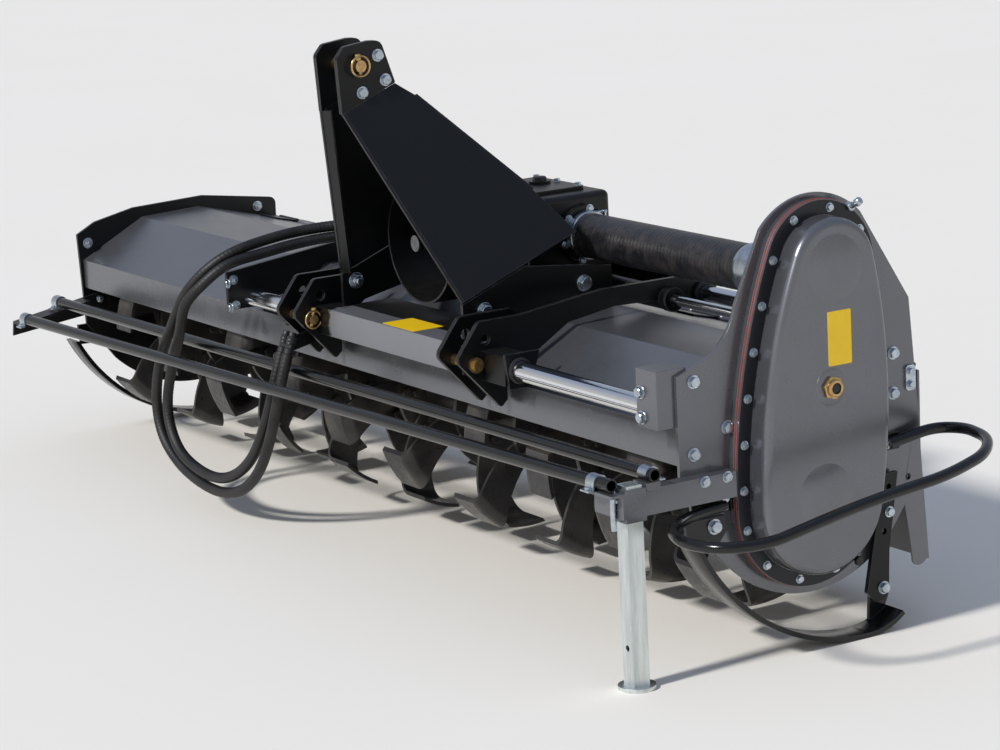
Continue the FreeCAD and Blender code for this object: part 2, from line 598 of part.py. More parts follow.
HOOD_END = S.hood_width / 2
GUARDS = (((62 - HOOD_END, S.guard_front_y, 340), (HOOD_END + 36, S.guard_front_y, 394)),
          ((20 - HOOD_END, -90, 363), (HOOD_END + 58, S.guard_rear_y, 404)))
node("guard_tubes", group(*[solid(straight_tube(point(*a), point(*b), S.guard_radius, S.guard_wall))
                            for a, b in GUARDS]))
LEFT_INNER = "mid_x - hood_width / 2"
left_web = slab(LEFT_INNER, "6", ((60, 372), (-206, 326), (-210, 290), (60, 322)))
left_top = slab(f"{LEFT_INNER} + 6", "50", ((-16, 358.9), (-206, 326), (-206.6, 320), (-16, 352.8)))
node("guard_arm_left", fuse(left_web, left_top))
STAND = f"{OUTER} + stand_out"
beam = box((OUTER, "front_y + stand_y + socket_side / 2", "325"),
           ("30", "80 - stand_y - socket_side / 2", "50"))
socket = cut(box((f"{STAND} - socket_side / 2", "front_y + stand_y - socket_side / 2", "socket_low"),
                 ("socket_side", "socket_side", "socket_top - socket_low")),
             box((f"{STAND} - leg_side / 2 - leg_play", "front_y + stand_y - leg_side / 2 - leg_play",
                  "socket_low"),
                 ("leg_side + 2 * leg_play", "leg_side + 2 * leg_play", "socket_top - socket_low")))
FRONT_LIP = ((-214, 379.2), (-183, 379.2), (-183, 330), (-189, 330), (-189, 373.2), (-214, 373.2))
lip = slab(f"{STAND} - 72", "95", FRONT_LIP)
riser = box((OUTER, "front_y + guard_rear_y - 16", "375"), ("44", "32", "14.9"))
node("guard_arm_right", fuse(beam, socket, lip, riser))

# Parking stand
leg = cut(box((f"{STAND} - leg_side / 2", "front_y + stand_y - leg_side / 2", "foot_sheet"),
              ("leg_side", "leg_side", "socket_top + 6 - foot_sheet")),
          box((f"{STAND} - leg_side / 2 + leg_wall", "front_y + stand_y - leg_side / 2 + leg_wall",
               "foot_sheet"),
              ("leg_side - 2 * leg_wall", "leg_side - 2 * leg_wall", "socket_top + 6 - foot_sheet")),
          rod((f"{STAND}", "front_y + stand_y - leg_side / 2", "leg_hole_z"), "leg_hole", "leg_side", "y"))
node("stand_leg", fuse(leg, rod((f"{STAND}", "front_y + stand_y", "0"), "foot_radius", "foot_sheet", "z")))

# Skids with their rear straps


def skid_at(radius, y):
    """The skid's height at a depth, on one of its two arcs."""
    return (y, S.skid_round - math.sqrt(radius ** 2 - (y - S.skid_y) ** 2))


def skid_front(radius, z):
    """The skid's depth at a height of its front end."""
    return (S.skid_y - math.sqrt(radius ** 2 - (S.skid_round - z) ** 2), z)


def skid_tail(radius, share):
    """A point of the skid's upturned end, at a share of its turn."""
    turn = math.radians(S.skid_tail) * share
    return (S.skid_y + radius * math.sin(turn), S.skid_tail_round - radius * math.cos(turn))


SKID_OUT, SKID_IN = S.skid_round, S.skid_round - S.skid_sheet
TAIL_OUT, TAIL_IN = S.skid_tail_round, S.skid_tail_round - S.skid_sheet
SKID_LINE = (skid_front(SKID_OUT, 245), (skid_at(SKID_OUT, 100), skid_at(SKID_OUT, S.skid_y)),
             (skid_tail(TAIL_OUT, 0.5), skid_tail(TAIL_OUT, 1)), skid_tail(TAIL_IN, 1),
             (skid_tail(TAIL_IN, 0.5), skid_at(SKID_IN, S.skid_y)),
             (skid_at(SKID_IN, 100), skid_front(SKID_IN, 245)))
FRONT_LUG = ((-26, 288), (66, 288), (72, 262), (50, 235), (-21, 238))
REAR_LUG = ((400, 11), (436, 28), (450, 60), (450, 98), (406, 98))
STRAP_HOLES = ((449, 277), (435, 190))
STRAP = ((437, 304), (472, 304), (447, 150), (444, 84), ((432, 56), (406, 56)), (390, 74), (411, 180),
         (428, 250))
PACKING = ((429, 206), (454, 206), (466, 290), (436, 290))
straps = []
for name, side in (("left", -1), ("right", 1)):
    face = f"mid_x + {side} * (hood_width / 2 + side_plate)"
    outwards = (side - 1) / 2
    strip = slab(f"{face} + {outwards} * skid_width", "skid_width", SKID_LINE)
    front_lug = slab(f"{face} + {outwards} * 8", "8", FRONT_LUG)
    rear_lug = slab(f"{face} + {outwards} * strap_pack", "strap_pack", REAR_LUG)
    node(f"skid_{name}", fuse(strip, front_lug, rear_lug))
    packing = slab(f"{face} + {outwards} * strap_pack", "strap_pack", PACKING)
    strap_face = f"{face} + {side} * strap_pack + {outwards} * strap_sheet"
    blank = fuse(slab(strap_face, "strap_sheet", STRAP), packing)
    straps.append(cut(blank, *[rod((strap_face, f"front_y + {y}", str(z)), "strap_hole", "strap_sheet")
                               for y, z in STRAP_HOLES]))
node("skid_straps", group(*straps))

# Side guard loop at the gear case
LOOP = ((14, 62, 308), (18, -20, 303), (54, -92, 296), (132, -122, 293), (218, -100, 294), (260, -20, 298),
        (262, 187, 334), (260, 400, 354), (234, 510, 370), (172, 572, 380), (82, 590, 382), (24, 560, 378),
        (14, 456, 361))
PLATE_FACE = HOOD_END + S.side_plate
loop_tube = solid(run_tube([(PLATE_FACE + out, y, z) for out, y, z in LOOP], S.loop_radius)[0])
loop_front = slab(OUTER, "8", ((40, 294), (80, 294), (80, 322), (40, 322)))
loop_rear = slab(OUTER, "8", ((446, 346), (486, 346), (486, 378), (446, 378)))
node("side_guard", fuse(loop_tube, loop_front, loop_rear))

# Levelling board on its hinge: knuckles by turns on the hood and on the board
GATE_START = "mid_x - hood_width / 2 + gate_end_gap"
GATE_LENGTH = "hood_width - 2 * gate_end_gap"
HINGE = ("front_y + gate_hinge_y", "gate_hinge_z")
KNUCKLE_STEP = (HOOD_END - S.knuckle_end) / 2
KNUCKLE_BESIDE = KNUCKLE_STEP / 2 - S.knuckle - S.knuckle_gap
KNUCKLES = [KNUCKLE_STEP * i for i in (-2, -1, 0, 1, 2)]
LEAF = ((490, 512.0), (538, 499.7), (551, 496.4), (551, 501.4), (490, 517.0))
hood_half, board_half = [], []
for x in KNUCKLES:
    hood_half.append(fuse(rod((f"mid_x + {x} - knuckle / 2", *HINGE), "gate_hinge_radius", "knuckle"),
                          slab(f"mid_x + {x} - knuckle / 2", "knuckle", LEAF)))
pin = rod((f"{GATE_START} + 6", *HINGE), "gate_pin_radius", f"{GATE_LENGTH} - 12")
node("board_hinge", fuse(pin, *hood_half))
BOARD = ((559, 486), (558, 330), (573, 104), (568, 104), (553, 330), (554, 486))
WEB = ((554, 497), (559, 494), (559, 484), (554, 484), (552, 494))
WING = ((514, 350), (524, 362), (555, 362), (555.5, 330), (569, 124), ((564, 102), (551, 95)),
        ((537, 98), (532, 112)), (524, 168), (515, 224))
board = slab(GATE_START, GATE_LENGTH, BOARD)
for i, x in enumerate(KNUCKLES[:-1]):
    for beside in (-1, 1):
        start = f"mid_x + {x + KNUCKLE_STEP / 2 + beside * KNUCKLE_BESIDE} - knuckle / 2"
        board_half += [rod((start, *HINGE), "gate_hinge_radius", "knuckle"), slab(start, "knuckle", WEB)]
wings = [slab(f"{GATE_START} + {share} * ({GATE_LENGTH} - gate_sheet)", "gate_sheet", WING)
         for share in (0, 1)]
bore = rod((GATE_START, *HINGE), "gate_pin_radius + gate_play", GATE_LENGTH)
node("levelling_board", cut(fuse(board, *wings, *board_half), bore))

# Rotor: tube and flanges, blades, end bearings
ROTOR = ("front_y + rotor_y", "rotor_z")
ROTOR_END = "hood_width / 2 - bearing_depth - rotor_gap"
tube_part = rod((f"mid_x - ({ROTOR_END})", *ROTOR), "rotor_tube", f"2 * ({ROTOR_END})")
journal = rod((f"mid_x - hood_width / 2 + seat_gap", *ROTOR), "journal_radius", "hood_width - 2 * seat_gap")
PITCH = "(hood_width - 2 * flange_end) / (flange_count - 1)"
flanges = [rod((f"mid_x + ({i} - (flange_count - 1) / 2) * {PITCH} - flange_sheet / 2", *ROTOR),
               "flange_radius", "flange_sheet") for i in range(int(S.flange_count))]
node("rotor", fuse(tube_part, journal, *flanges))
bearings = []
for start in (f"mid_x - hood_width / 2", f"{RIGHT_INNER} - bearing_depth"):
    bearings.append(cut(rod((start, *ROTOR), "bearing_radius", "bearing_depth"),
                        rod((start, *ROTOR), "journal_radius + bearing_play", "bearing_depth")))
node("rotor_bearings", group(*bearings))


def rotor_blade():
    """One blade about the origin: a leg in the plane x = 0 that points up, its foot towards +X."""
    sheet_x, tip, bend = S.blade_sheet, S.blade_tip, S.blade_bend
    inner = tip - sheet_x
    corner = math.sqrt(0.5)
    spots = [V(0, 0, 58), V(0, 0, tip - bend), V(bend, 0, tip), V(S.blade_reach, 0, tip),
             V(S.blade_reach, 0, inner), V(bend, 0, inner), V(sheet_x, 0, tip - bend), V(sheet_x, 0, 58)]
    outer_middle = V(bend - bend * corner, 0, tip - bend + bend * corner)
    inner_bend = bend - sheet_x
    inner_middle = V(bend - inner_bend * corner, 0, tip - bend + inner_bend * corner)
    edges = [Part.LineSegment(spots[0], spots[1]), Part.Arc(spots[1], outer_middle, spots[2]),
             Part.LineSegment(spots[2], spots[3]), Part.LineSegment(spots[3], spots[4]),
             Part.LineSegment(spots[4], spots[5]), Part.Arc(spots[5], inner_middle, spots[6]),
             Part.LineSegment(spots[6], spots[7]), Part.LineSegment(spots[7], spots[0])]
    face = Part.Face(Part.Wire([edge.toShape() for edge in edges]))
    face.rotate(V(), X_AXIS, -32)
    turned = face.revolve(V(), X_AXIS, 64)
    line = [V(-2, 28, 50), V(-2, 28, 118), V(-2, -38, 262), V(-2, -132, 232), V(-2, -28, 112),
            V(-2, -28, 50)]
    side_view = Part.Wire([Part.LineSegment(line[0], line[1]).toShape(),
                           Part.Arc(line[1], V(-2, 8, 196), line[2]).toShape(),
                           Part.LineSegment(line[2], line[3]).toShape(),
                           Part.Arc(line[3], V(-2, -68, 180), line[4]).toShape(),
                           Part.LineSegment(line[4], line[5]).toShape(),
                           Part.LineSegment(line[5], line[0]).toShape()])
    return turned.common(Part.Face(side_view).extrude(V(S.blade_reach + 4, 0, 0)))


right_hand = rotor_blade()
left_hand = right_hand.mirror(V(), X_AXIS)
blades = []
flange_pitch = (S.hood_width - 2 * S.flange_end) / (S.flange_count - 1)
for i in range(int(S.flange_count)):
    for k in range(6):
        hand = 1 if k % 2 else -1
        blade = (right_hand if hand > 0 else left_hand).copy()
        blade.rotate(V(), X_AXIS, i * S.blade_step + k * 60)
        blade.translate(point((i - (S.flange_count - 1) / 2) * flange_pitch + hand * S.flange_sheet / 2,
                              S.rotor_y, S.rotor_z))
        blades.append(blade)
node("rotor_blades", solid(Part.makeCompound(blades)))

# The two hoses of the side-shift cylinder, from its ports to the couplings on the holder
HOSES = {
    "hose_outer": ((120, 395, 660), (35, 395, 660), (-75, 370, 652), (-185, 315, 644), (-278, 248, 638),
                   (-336, 165, 633), (-362, 80, 625), (-366, 0, 613), (-370, -50, 602), (-382, -88, 584),
                   (-402, -118, 558), (-428, -140, 527), (-460, -153, 490), (-507, -159, 424),
                   (-562, -160, 362), (-605, -160, 290), (-618, -162, 215), (-590, -165, 145),
                   (-515, -165, 95), (-410, -165, 68), (-300, -165, 62), (-195, -165, 85),
                   (-110, -165, 140), (-50, -165, 215), (-15, -160, 300), (-3.5, -147.4, 368.6),
                   (-3.5, -127, 425)),
    "hose_inner": ((82, 395, 632), (-5, 395, 632), (-105, 366, 625), (-200, 312, 618), (-280, 246, 612),
                   (-328, 165, 609), (-347, 80, 600), (-352, 5, 589), (-352, -67, 581), (-361, -106, 563),
                   (-378, -134, 536), (-402, -155, 508), (-431, -165, 477), (-482, -156, 394),
                   (-536, -152, 326), (-566, -156, 250), (-562, -160, 200), (-540, -162, 157),
                   (-505, -164, 127), (-457, -165, 108), (-372, -165, 93), (-285, -165, 98),
                   (-200, -165, 128), (-125, -165, 180), (-74, -164, 245), (-43, -158, 308),
                   (-31.5, -147.4, 368.6), (-31.5, -127, 425)),
}
COUPLING_HEAD = (-110, 472)
for name, route in HOSES.items():
    hose, length, bends = run_tube(route, S.hose_radius)
    node(name, solid(hose))
    fill = hose.Volume / (math.pi * S.hose_radius ** 2 * length)
    print(f"{name}: length {length:.0f}, volume to section by length {fill:.4f}, "
          f"radii {[round(bend) for bend in bends]}")
    foot, head = point(*route[-1]), point(route[-1][0], *COUPLING_HEAD)
    coupling = Part.makeCylinder(S.coupling_radius, (head - foot).Length, foot, head - foot)
    node(name.replace("hose", "hose_coupling"), solid(coupling))

# Everything is worked out, checked and written
doc.recompute()
failed = [obj.Label for obj in doc.Objects if {"Invalid", "Error"} & set(obj.State)]
for label, obj in NODES.items():
    if obj.Shape.isNull() or not obj.Shape.isValid():
        failed.append(label)
if failed:
    raise RuntimeError(f"failed: {failed}")
os.makedirs("parts", exist_ok=True)
for label, obj in NODES.items():
    obj.Shape.exportStep(f"parts/{label}.step")
whole = Part.makeCompound([obj.Shape for obj in NODES.values()]).BoundBox
print(f"{len(NODES)} nodes, x {whole.XMin:.1f} {whole.XMax:.1f}, y {whole.YMin:.1f} {whole.YMax:.1f}, "
      f"z {whole.ZMin:.1f} {whole.ZMax:.1f}")
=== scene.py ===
"""A side-shift rotavator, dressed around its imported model.

Every place is given in millimetres from the hood: x from its middle towards the gear case,
y back from its front face, z up from the ground. Form turns them into the row frame's metres.
"""

import json
import logging
import math
from collections.abc import Callable, Sequence
from dataclasses import dataclass
from enum import Enum
from functools import cache

import bmesh
import bpy
from mathutils import Matrix, Vector


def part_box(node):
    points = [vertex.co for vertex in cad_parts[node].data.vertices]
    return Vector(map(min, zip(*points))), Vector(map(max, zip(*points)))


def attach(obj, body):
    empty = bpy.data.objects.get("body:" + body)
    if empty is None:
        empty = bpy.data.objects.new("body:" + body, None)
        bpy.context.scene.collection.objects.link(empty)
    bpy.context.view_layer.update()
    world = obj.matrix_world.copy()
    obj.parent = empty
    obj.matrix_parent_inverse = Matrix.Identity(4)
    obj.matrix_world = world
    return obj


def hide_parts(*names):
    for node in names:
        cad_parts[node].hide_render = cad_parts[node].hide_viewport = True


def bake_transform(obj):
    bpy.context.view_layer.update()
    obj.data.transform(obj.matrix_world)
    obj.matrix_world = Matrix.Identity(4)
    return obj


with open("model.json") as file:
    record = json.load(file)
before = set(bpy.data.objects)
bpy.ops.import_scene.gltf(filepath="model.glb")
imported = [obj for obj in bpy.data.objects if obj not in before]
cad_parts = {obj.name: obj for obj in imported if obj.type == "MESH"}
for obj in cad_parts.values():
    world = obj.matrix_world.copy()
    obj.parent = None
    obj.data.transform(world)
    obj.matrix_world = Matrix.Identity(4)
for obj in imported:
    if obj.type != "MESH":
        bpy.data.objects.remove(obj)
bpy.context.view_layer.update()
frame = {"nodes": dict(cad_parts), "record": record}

LOG = logging.getLogger("rotavator")
MM = 0.001
HOOD_LOW, HOOD_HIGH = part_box("hood")
ORIGIN = Vector(((HOOD_LOW.x + HOOD_HIGH.x) / 2, HOOD_LOW.y, 0.0))
X, Y, Z = Vector((1, 0, 0)), Vector((0, 1, 0)), Vector((0, 0, 1))
RIGHT_FACE = 1338.0
FLANGE_FACE = 1363.0
PAN_FACE = 1413.0
HEAD_X = 324.0
BLACK_PAINT = "#0a0b0d"

Pair = tuple[float, float]
Triple = tuple[float, float, float]


class Body(Enum):
    """The bodies that a piece may ride on."""

    HOUSING = "housing"
    HEADSTOCK = "headstock"
    ROTOR = "rotor"
    BOARD = "board"
    STAND = "stand"
    STUB = "drive_stub"


class Slot(Enum):
    """The record's material slots."""

    GREY = "housing_grey"
    BLACK = "frame_black"
    CHROME = "chrome"
    ZINC = "zinc"
    GOLD = "yellow_zinc"
    BRIGHT = "bright_steel"
    ROTOR = "rotor_black"
    BOARD = "board_grey"
    SLEEVE = "sleeve_black"
    HOSE = "hose_black"


def row(x: float, y: float, z: float) -> Vector:
    """A place in millimetres from the hood's middle front, as a point of the row frame."""
    return ORIGIN + Vector((x, y, z)) * MM


def linear(colour: str) -> tuple[float, float, float, float]:
    """Turns an sRGB hex colour into the linear values that a shader takes.

    Args:
        colour: The colour as "#rrggbb".

    Returns:
        Red, green, blue and a full alpha.
    """
    parts = [int(colour[i:i + 2], 16) / 255 for i in (1, 3, 5)]
    red, green, blue = [c / 12.92 if c <= 0.04045 else ((c + 0.055) / 1.055) ** 2.4 for c in parts]
    return red, green, blue, 1.0


def per_metre(size_mm: float) -> float:
    """A texture's scale for a feature of that many millimetres."""
    return 1000.0 / size_mm


def add_node(tree: bpy.types.NodeTree, kind: str, inputs: dict | None = None, **settings) -> bpy.types.Node:
    """Adds one shader node, sets its options and fills or links its inputs.

    Args:
        tree: The material's or world's node tree.
        kind: The node's type name.
        inputs: Socket name or index to a value, another node or one of its outputs.
        **settings: Options of the node itself.

    Returns:
        The new node.
    """
    node = tree.nodes.new(kind)
    for option, value in settings.items():
        setattr(node, option, value)
    for key, value in (inputs or {}).items():
        socket = node.inputs[key] if isinstance(key, int) else next(
            s for s in node.inputs if s.name == key and s.enabled)
        if isinstance(value, bpy.types.Node):
            value = next(s for s in value.outputs if s.enabled)
        if isinstance(value, bpy.types.NodeSocket):
            tree.links.new(value, socket)
        else:
            socket.default_value = value
    return node


@dataclass(frozen=True)
class Finish:
    """A surface: what it is made of and how it was made."""

    name: str

    def shade(self, tree: bpy.types.NodeTree) -> bpy.types.Node:
        """Builds the shader and returns it."""
        raise NotImplementedError


@dataclass(frozen=True)
class PowderCoat(Finish):
    """Powder coat on steel: sprayed dry and baked, so it flows to a soft waviness.

    To the eye that is an even colour under a broad gloss that shivers a little, thin and
    rubbed through to the metal on cut edges, with dust where it lies flat. The pale edges are also
    painted highlight, for the light that glints off cut edges. A bare_run is the stretch along
    x that a second coat leaves bare, with a frayed edge where that coat was masked off.
    """

    colour: str
    metallic: float = 0.0
    roughness: float = 0.4
    peel_mm: float = 7.0
    dust: float = 0.12
    # Edge colour and strength: partly bare metal, partly painted highlight where cut edges catch the light.
    edge_wear_and_highlight: float = 0.5
    specular: float = 0.5
    wear_and_highlight_colour: str = "#8d8f92"
    dust_colour: str = "#b9b1a4"
    scuffs: tuple[tuple[Triple, float], ...] = ()
    bare_run: Pair | None = None
    over_colour: str = BLACK_PAINT
    fray_mm: float = 90.0
    blur_mm: float = 6.0

    def shade(self, tree: bpy.types.NodeTree) -> bpy.types.Node:
        """Coat, then dust on what faces up, then bare metal along edges and at scuffs; on the edges it is
        also a painted highlight.
        """
        place = add_node(tree, "ShaderNodeTexCoord").outputs["Object"]
        surface = add_node(tree, "ShaderNodeNewGeometry")
        clouds = add_node(tree, "ShaderNodeTexNoise", {
            "Vector": place, "Scale": per_metre(160), "Detail": 6.0, "Roughness": 0.62})
        # Real orange peel is 2 to 4 mm across. It is drawn coarser, so that it shows at this distance.
        peel = add_node(tree, "ShaderNodeTexNoise", {
            "Vector": place, "Scale": per_metre(self.peel_mm), "Detail": 1.5})
        grit = add_node(tree, "ShaderNodeTexNoise", {
            "Vector": place, "Scale": per_metre(22), "Detail": 8.0, "Roughness": 0.75})
        base = add_node(tree, "ShaderNodeMix", {
            "Factor": clouds, "A": tuple(c * 0.86 for c in linear(self.colour)[:3]) + (1.0,),
            "B": tuple(c * 1.14 for c in linear(self.colour)[:3]) + (1.0,)}, data_type="RGBA")
        if self.bare_run:
            base = self.overspray(tree, place, grit, base)
        up = add_node(tree, "ShaderNodeSeparateXYZ", {"Vector": surface.outputs["Normal"]}).outputs["Z"]
        lying = add_node(tree, "ShaderNodeMapRange", {
            "Value": up, "From Min": 0.35, "From Max": 0.98, "To Max": self.dust},
            interpolation_type="SMOOTHSTEP")
        drift = add_node(tree, "ShaderNodeMapRange", {
            "Value": grit, "From Min": 0.36, "From Max": 0.66, "To Min": 0.25})
        dust = add_node(tree, "ShaderNodeMath", {0: lying, 1: drift}, operation="MULTIPLY")
        dusty = add_node(tree, "ShaderNodeMix", {"Factor": dust, "A": base, "B": linear(self.dust_colour)},
                         data_type="RGBA")
        # Painted highlight and real edge wear: the bevel normal finds sharp edges, which turn pale both as
        # bare metal and as glinting light.
        rounded = add_node(tree, "ShaderNodeBevel", {"Radius": 1.6 * MM}, samples=4)
        turn = add_node(tree, "ShaderNodeVectorMath", {
            0: rounded, 1: surface.outputs["Normal"]}, operation="DOT_PRODUCT").outputs["Value"]
        edge = add_node(tree, "ShaderNodeMapRange", {
            "Value": turn, "From Min": 0.995, "From Max": 0.9, "To Max": self.edge_wear_and_highlight},
            interpolation_type="SMOOTHSTEP")
        patchy = add_node(tree, "ShaderNodeMapRange", {
            "Value": grit, "From Min": 0.42, "From Max": 0.6, "To Min": 0.15})
        wear_and_highlight = add_node(tree, "ShaderNodeMath", {0: edge, 1: patchy}, operation="MULTIPLY")
        for (x, y, z), reach in self.scuffs:
            apart = add_node(tree, "ShaderNodeVectorMath", {
                0: place, 1: row(x, y, z)}, operation="DISTANCE").outputs["Value"]
            near = add_node(tree, "ShaderNodeMapRange", {
                "Value": apart, "From Min": reach * MM, "From Max": 0.3 * reach * MM},
                interpolation_type="SMOOTHSTEP")
            scratch = add_node(tree, "ShaderNodeMapRange", {
                "Value": grit, "From Min": 0.53, "From Max": 0.6})
            wear_and_highlight = add_node(tree, "ShaderNodeMath", {
                0: near, 1: scratch, 2: wear_and_highlight}, operation="MULTIPLY_ADD", use_clamp=True)
        colour = add_node(tree, "ShaderNodeMix", {
            "Factor": wear_and_highlight, "A": dusty, "B": linear(self.wear_and_highlight_colour)}, data_type="RGBA")
        sheen = add_node(tree, "ShaderNodeMapRange", {
            "Value": clouds, "To Min": self.roughness - 0.07, "To Max": self.roughness + 0.09})
        dulled = add_node(tree, "ShaderNodeMath", {0: dust, 1: 1.2, 2: sheen}, operation="MULTIPLY_ADD")
        ripple = add_node(tree, "ShaderNodeBump", {
            "Height": peel, "Strength": 0.16, "Distance": 0.3 * MM})
        return add_node(tree, "ShaderNodeBsdfPrincipled", {
            "Base Color": colour, "Metallic": self.metallic, "Roughness": dulled, "Normal": ripple,
            "Specular IOR Level": self.specular})

    def overspray(self, tree: bpy.types.NodeTree, place: bpy.types.NodeSocket, grit: bpy.types.Node,
                  base: bpy.types.Node) -> bpy.types.Node:
        """Lays the second coat, with its frayed edge, over all that lies outside the bare run.

        Args:
            tree: The material's node tree.
            place: Where the surface is.
            grit: The noise that frays the edge.
            base: The first coat's colour.

        Returns:
            The colour of both coats.
        """
        low, high = (row(x, 0, 0).x for x in self.bare_run)
        middle = (low + high + self.fray_mm * MM) / 2
        half, blur = (high - low) / 2, self.blur_mm * MM
        along = add_node(tree, "ShaderNodeSeparateXYZ", {"Vector": place}).outputs["X"]
        frayed = add_node(tree, "ShaderNodeMath", {
            0: grit, 1: self.fray_mm * MM, 2: along}, operation="MULTIPLY_ADD")
        apart = add_node(tree, "ShaderNodeMath", {0: frayed, 1: middle}, operation="SUBTRACT")
        away = add_node(tree, "ShaderNodeMath", {0: apart}, operation="ABSOLUTE")
        over = add_node(tree, "ShaderNodeMapRange", {
            "Value": away, "From Min": half - blur, "From Max": half + blur},
            interpolation_type="SMOOTHSTEP")
        return add_node(tree, "ShaderNodeMix", {
            "Factor": over, "A": base, "B": linear(self.over_colour)}, data_type="RGBA")


@dataclass(frozen=True)
class Plating(Finish):
    """Electroplated steel: a bright metal skin a few microns thick on a machined part.

    To the eye that is a pale metal whose tint drifts between two colours, over fine turning marks.
    """

    colour: str
    drift_colour: str
    roughness: float = 0.28
    drift_mm: float = 14.0
    streak: float = 1.0

    def shade(self, tree: bpy.types.NodeTree) -> bpy.types.Node:
        """Tint in patches or in streaks that run down the piece, and a scratched gloss."""
        place = add_node(tree, "ShaderNodeTexCoord").outputs["Object"]
        drawn = add_node(tree, "ShaderNodeMapping", {"Vector": place, "Scale": (1.0, 1.0, self.streak)})
        patches = add_node(tree, "ShaderNodeTexNoise", {
            "Vector": drawn, "Scale": per_metre(self.drift_mm), "Detail": 5.0, "Roughness": 0.65})
        mask = add_node(tree, "ShaderNodeMapRange", {"Value": patches, "From Min": 0.35, "From Max": 0.65})
        colour = add_node(tree, "ShaderNodeMix", {
            "Factor": mask, "A": linear(self.colour), "B": linear(self.drift_colour)}, data_type="RGBA")
        # Turning marks are a tenth of a millimetre apart. They are drawn at 2 mm to show.
        marks = add_node(tree, "ShaderNodeTexNoise", {
            "Vector": place, "Scale": per_metre(2), "Detail": 2.0})
        gloss = add_node(tree, "ShaderNodeMapRange", {
            "Value": marks, "To Min": self.roughness - 0.08, "To Max": self.roughness + 0.1})
        relief = add_node(tree, "ShaderNodeBump", {"Height": marks, "Strength": 0.12, "Distance": 0.1 * MM})
        return add_node(tree, "ShaderNodeBsdfPrincipled", {
            "Base Color": colour, "Metallic": 1.0, "Roughness": gloss, "Normal": relief})


@dataclass(frozen=True)
class Chrome(Finish):
    """Hard chrome on a ground bar: plated, then polished lengthwise.

    To the eye that is a near mirror that a thin film of grease dulls in places.
    """

    colour: str = "#e4e6e9"
    roughness: float = 0.1
    film_mm: float = 90.0

    def shade(self, tree: bpy.types.NodeTree) -> bpy.types.Node:
        """A mirror under a film that comes and goes along the bar."""
        place = add_node(tree, "ShaderNodeTexCoord").outputs["Object"]
        film = add_node(tree, "ShaderNodeTexNoise", {
            "Vector": place, "Scale": per_metre(self.film_mm), "Detail": 4.0, "Roughness": 0.6})
        gloss = add_node(tree, "ShaderNodeMapRange", {
            "Value": film, "From Min": 0.4, "From Max": 0.75,
            "To Min": self.roughness, "To Max": self.roughness + 0.12})
        return add_node(tree, "ShaderNodeBsdfPrincipled", {
            "Base Color": linear(self.colour), "Metallic": 1.0, "Roughness": gloss})


@dataclass(frozen=True)
class WornSteel(Finish):
    """Black-dipped spring steel of the blades: dipped in thin enamel over a forged skin.

    To the eye that is a satin black, scaly under the gloss, with soil dust in clouds.
    """

    colour: str = "#211f20"
    soil_colour: str = "#6e665c"
    roughness: float = 0.3
    scale_mm: float = 12.0
    soil_mm: float = 70.0

    def shade(self, tree: bpy.types.NodeTree) -> bpy.types.Node:
        """Enamel over forging scale, with soil dust in clouds."""
        place = add_node(tree, "ShaderNodeTexCoord").outputs["Object"]
        scale = add_node(tree, "ShaderNodeTexNoise", {
            "Vector": place, "Scale": per_metre(self.scale_mm), "Detail": 6.0, "Roughness": 0.7})
        clouds = add_node(tree, "ShaderNodeTexNoise", {
            "Vector": place, "Scale": per_metre(self.soil_mm), "Detail": 4.0})
        dust = add_node(tree, "ShaderNodeMapRange", {
            "Value": clouds, "From Min": 0.45, "From Max": 0.8, "To Max": 0.35})
        colour = add_node(tree, "ShaderNodeMix", {
            "Factor": dust, "A": linear(self.colour), "B": linear(self.soil_colour)}, data_type="RGBA")
        gloss = add_node(tree, "ShaderNodeMapRange", {
            "Value": scale, "From Min": 0.3, "From Max": 0.7,
            "To Min": self.roughness - 0.08, "To Max": self.roughness + 0.22})
        relief = add_node(tree, "ShaderNodeBump", {"Height": scale, "Strength": 0.25, "Distance": 0.4 * MM})
        return add_node(tree, "ShaderNodeBsdfPrincipled", {
            "Base Color": colour, "Roughness": gloss, "Normal": relief})


@dataclass(frozen=True)
class Moulded(Finish):
    """Rubber, plastic or vinyl: moulded or rolled, coloured through.

    To the eye that is a soft gloss on the high places, greyed by bloom and handling.
    """

    colour: str
    bloom_colour: str
    bloom: float = 0.3
    roughness: float = 0.5
    grain_mm: float = 3.0
    relief: float = 0.2

    def shade(self, tree: bpy.types.NodeTree) -> bpy.types.Node:
        """A coloured body with bloom in patches over a fine grain."""
        place = add_node(tree, "ShaderNodeTexCoord").outputs["Object"]
        grain = add_node(tree, "ShaderNodeTexNoise", {
            "Vector": place, "Scale": per_metre(self.grain_mm), "Detail": 3.0})
        patches = add_node(tree, "ShaderNodeTexNoise", {
            "Vector": place, "Scale": per_metre(45), "Detail": 6.0, "Roughness": 0.7})
        mask = add_node(tree, "ShaderNodeMapRange", {
            "Value": patches, "From Min": 0.4, "From Max": 0.75, "To Max": self.bloom})
        colour = add_node(tree, "ShaderNodeMix", {
            "Factor": mask, "A": linear(self.colour), "B": linear(self.bloom_colour)}, data_type="RGBA")
        gloss = add_node(tree, "ShaderNodeMapRange", {
            "Value": patches, "To Min": self.roughness - 0.1, "To Max": self.roughness + 0.15})
        relief = add_node(tree, "ShaderNodeBump", {
            "Height": grain, "Strength": self.relief, "Distance": 0.2 * MM})
        return add_node(tree, "ShaderNodeBsdfPrincipled", {
            "Base Color": colour, "Roughness": gloss, "Normal": relief})


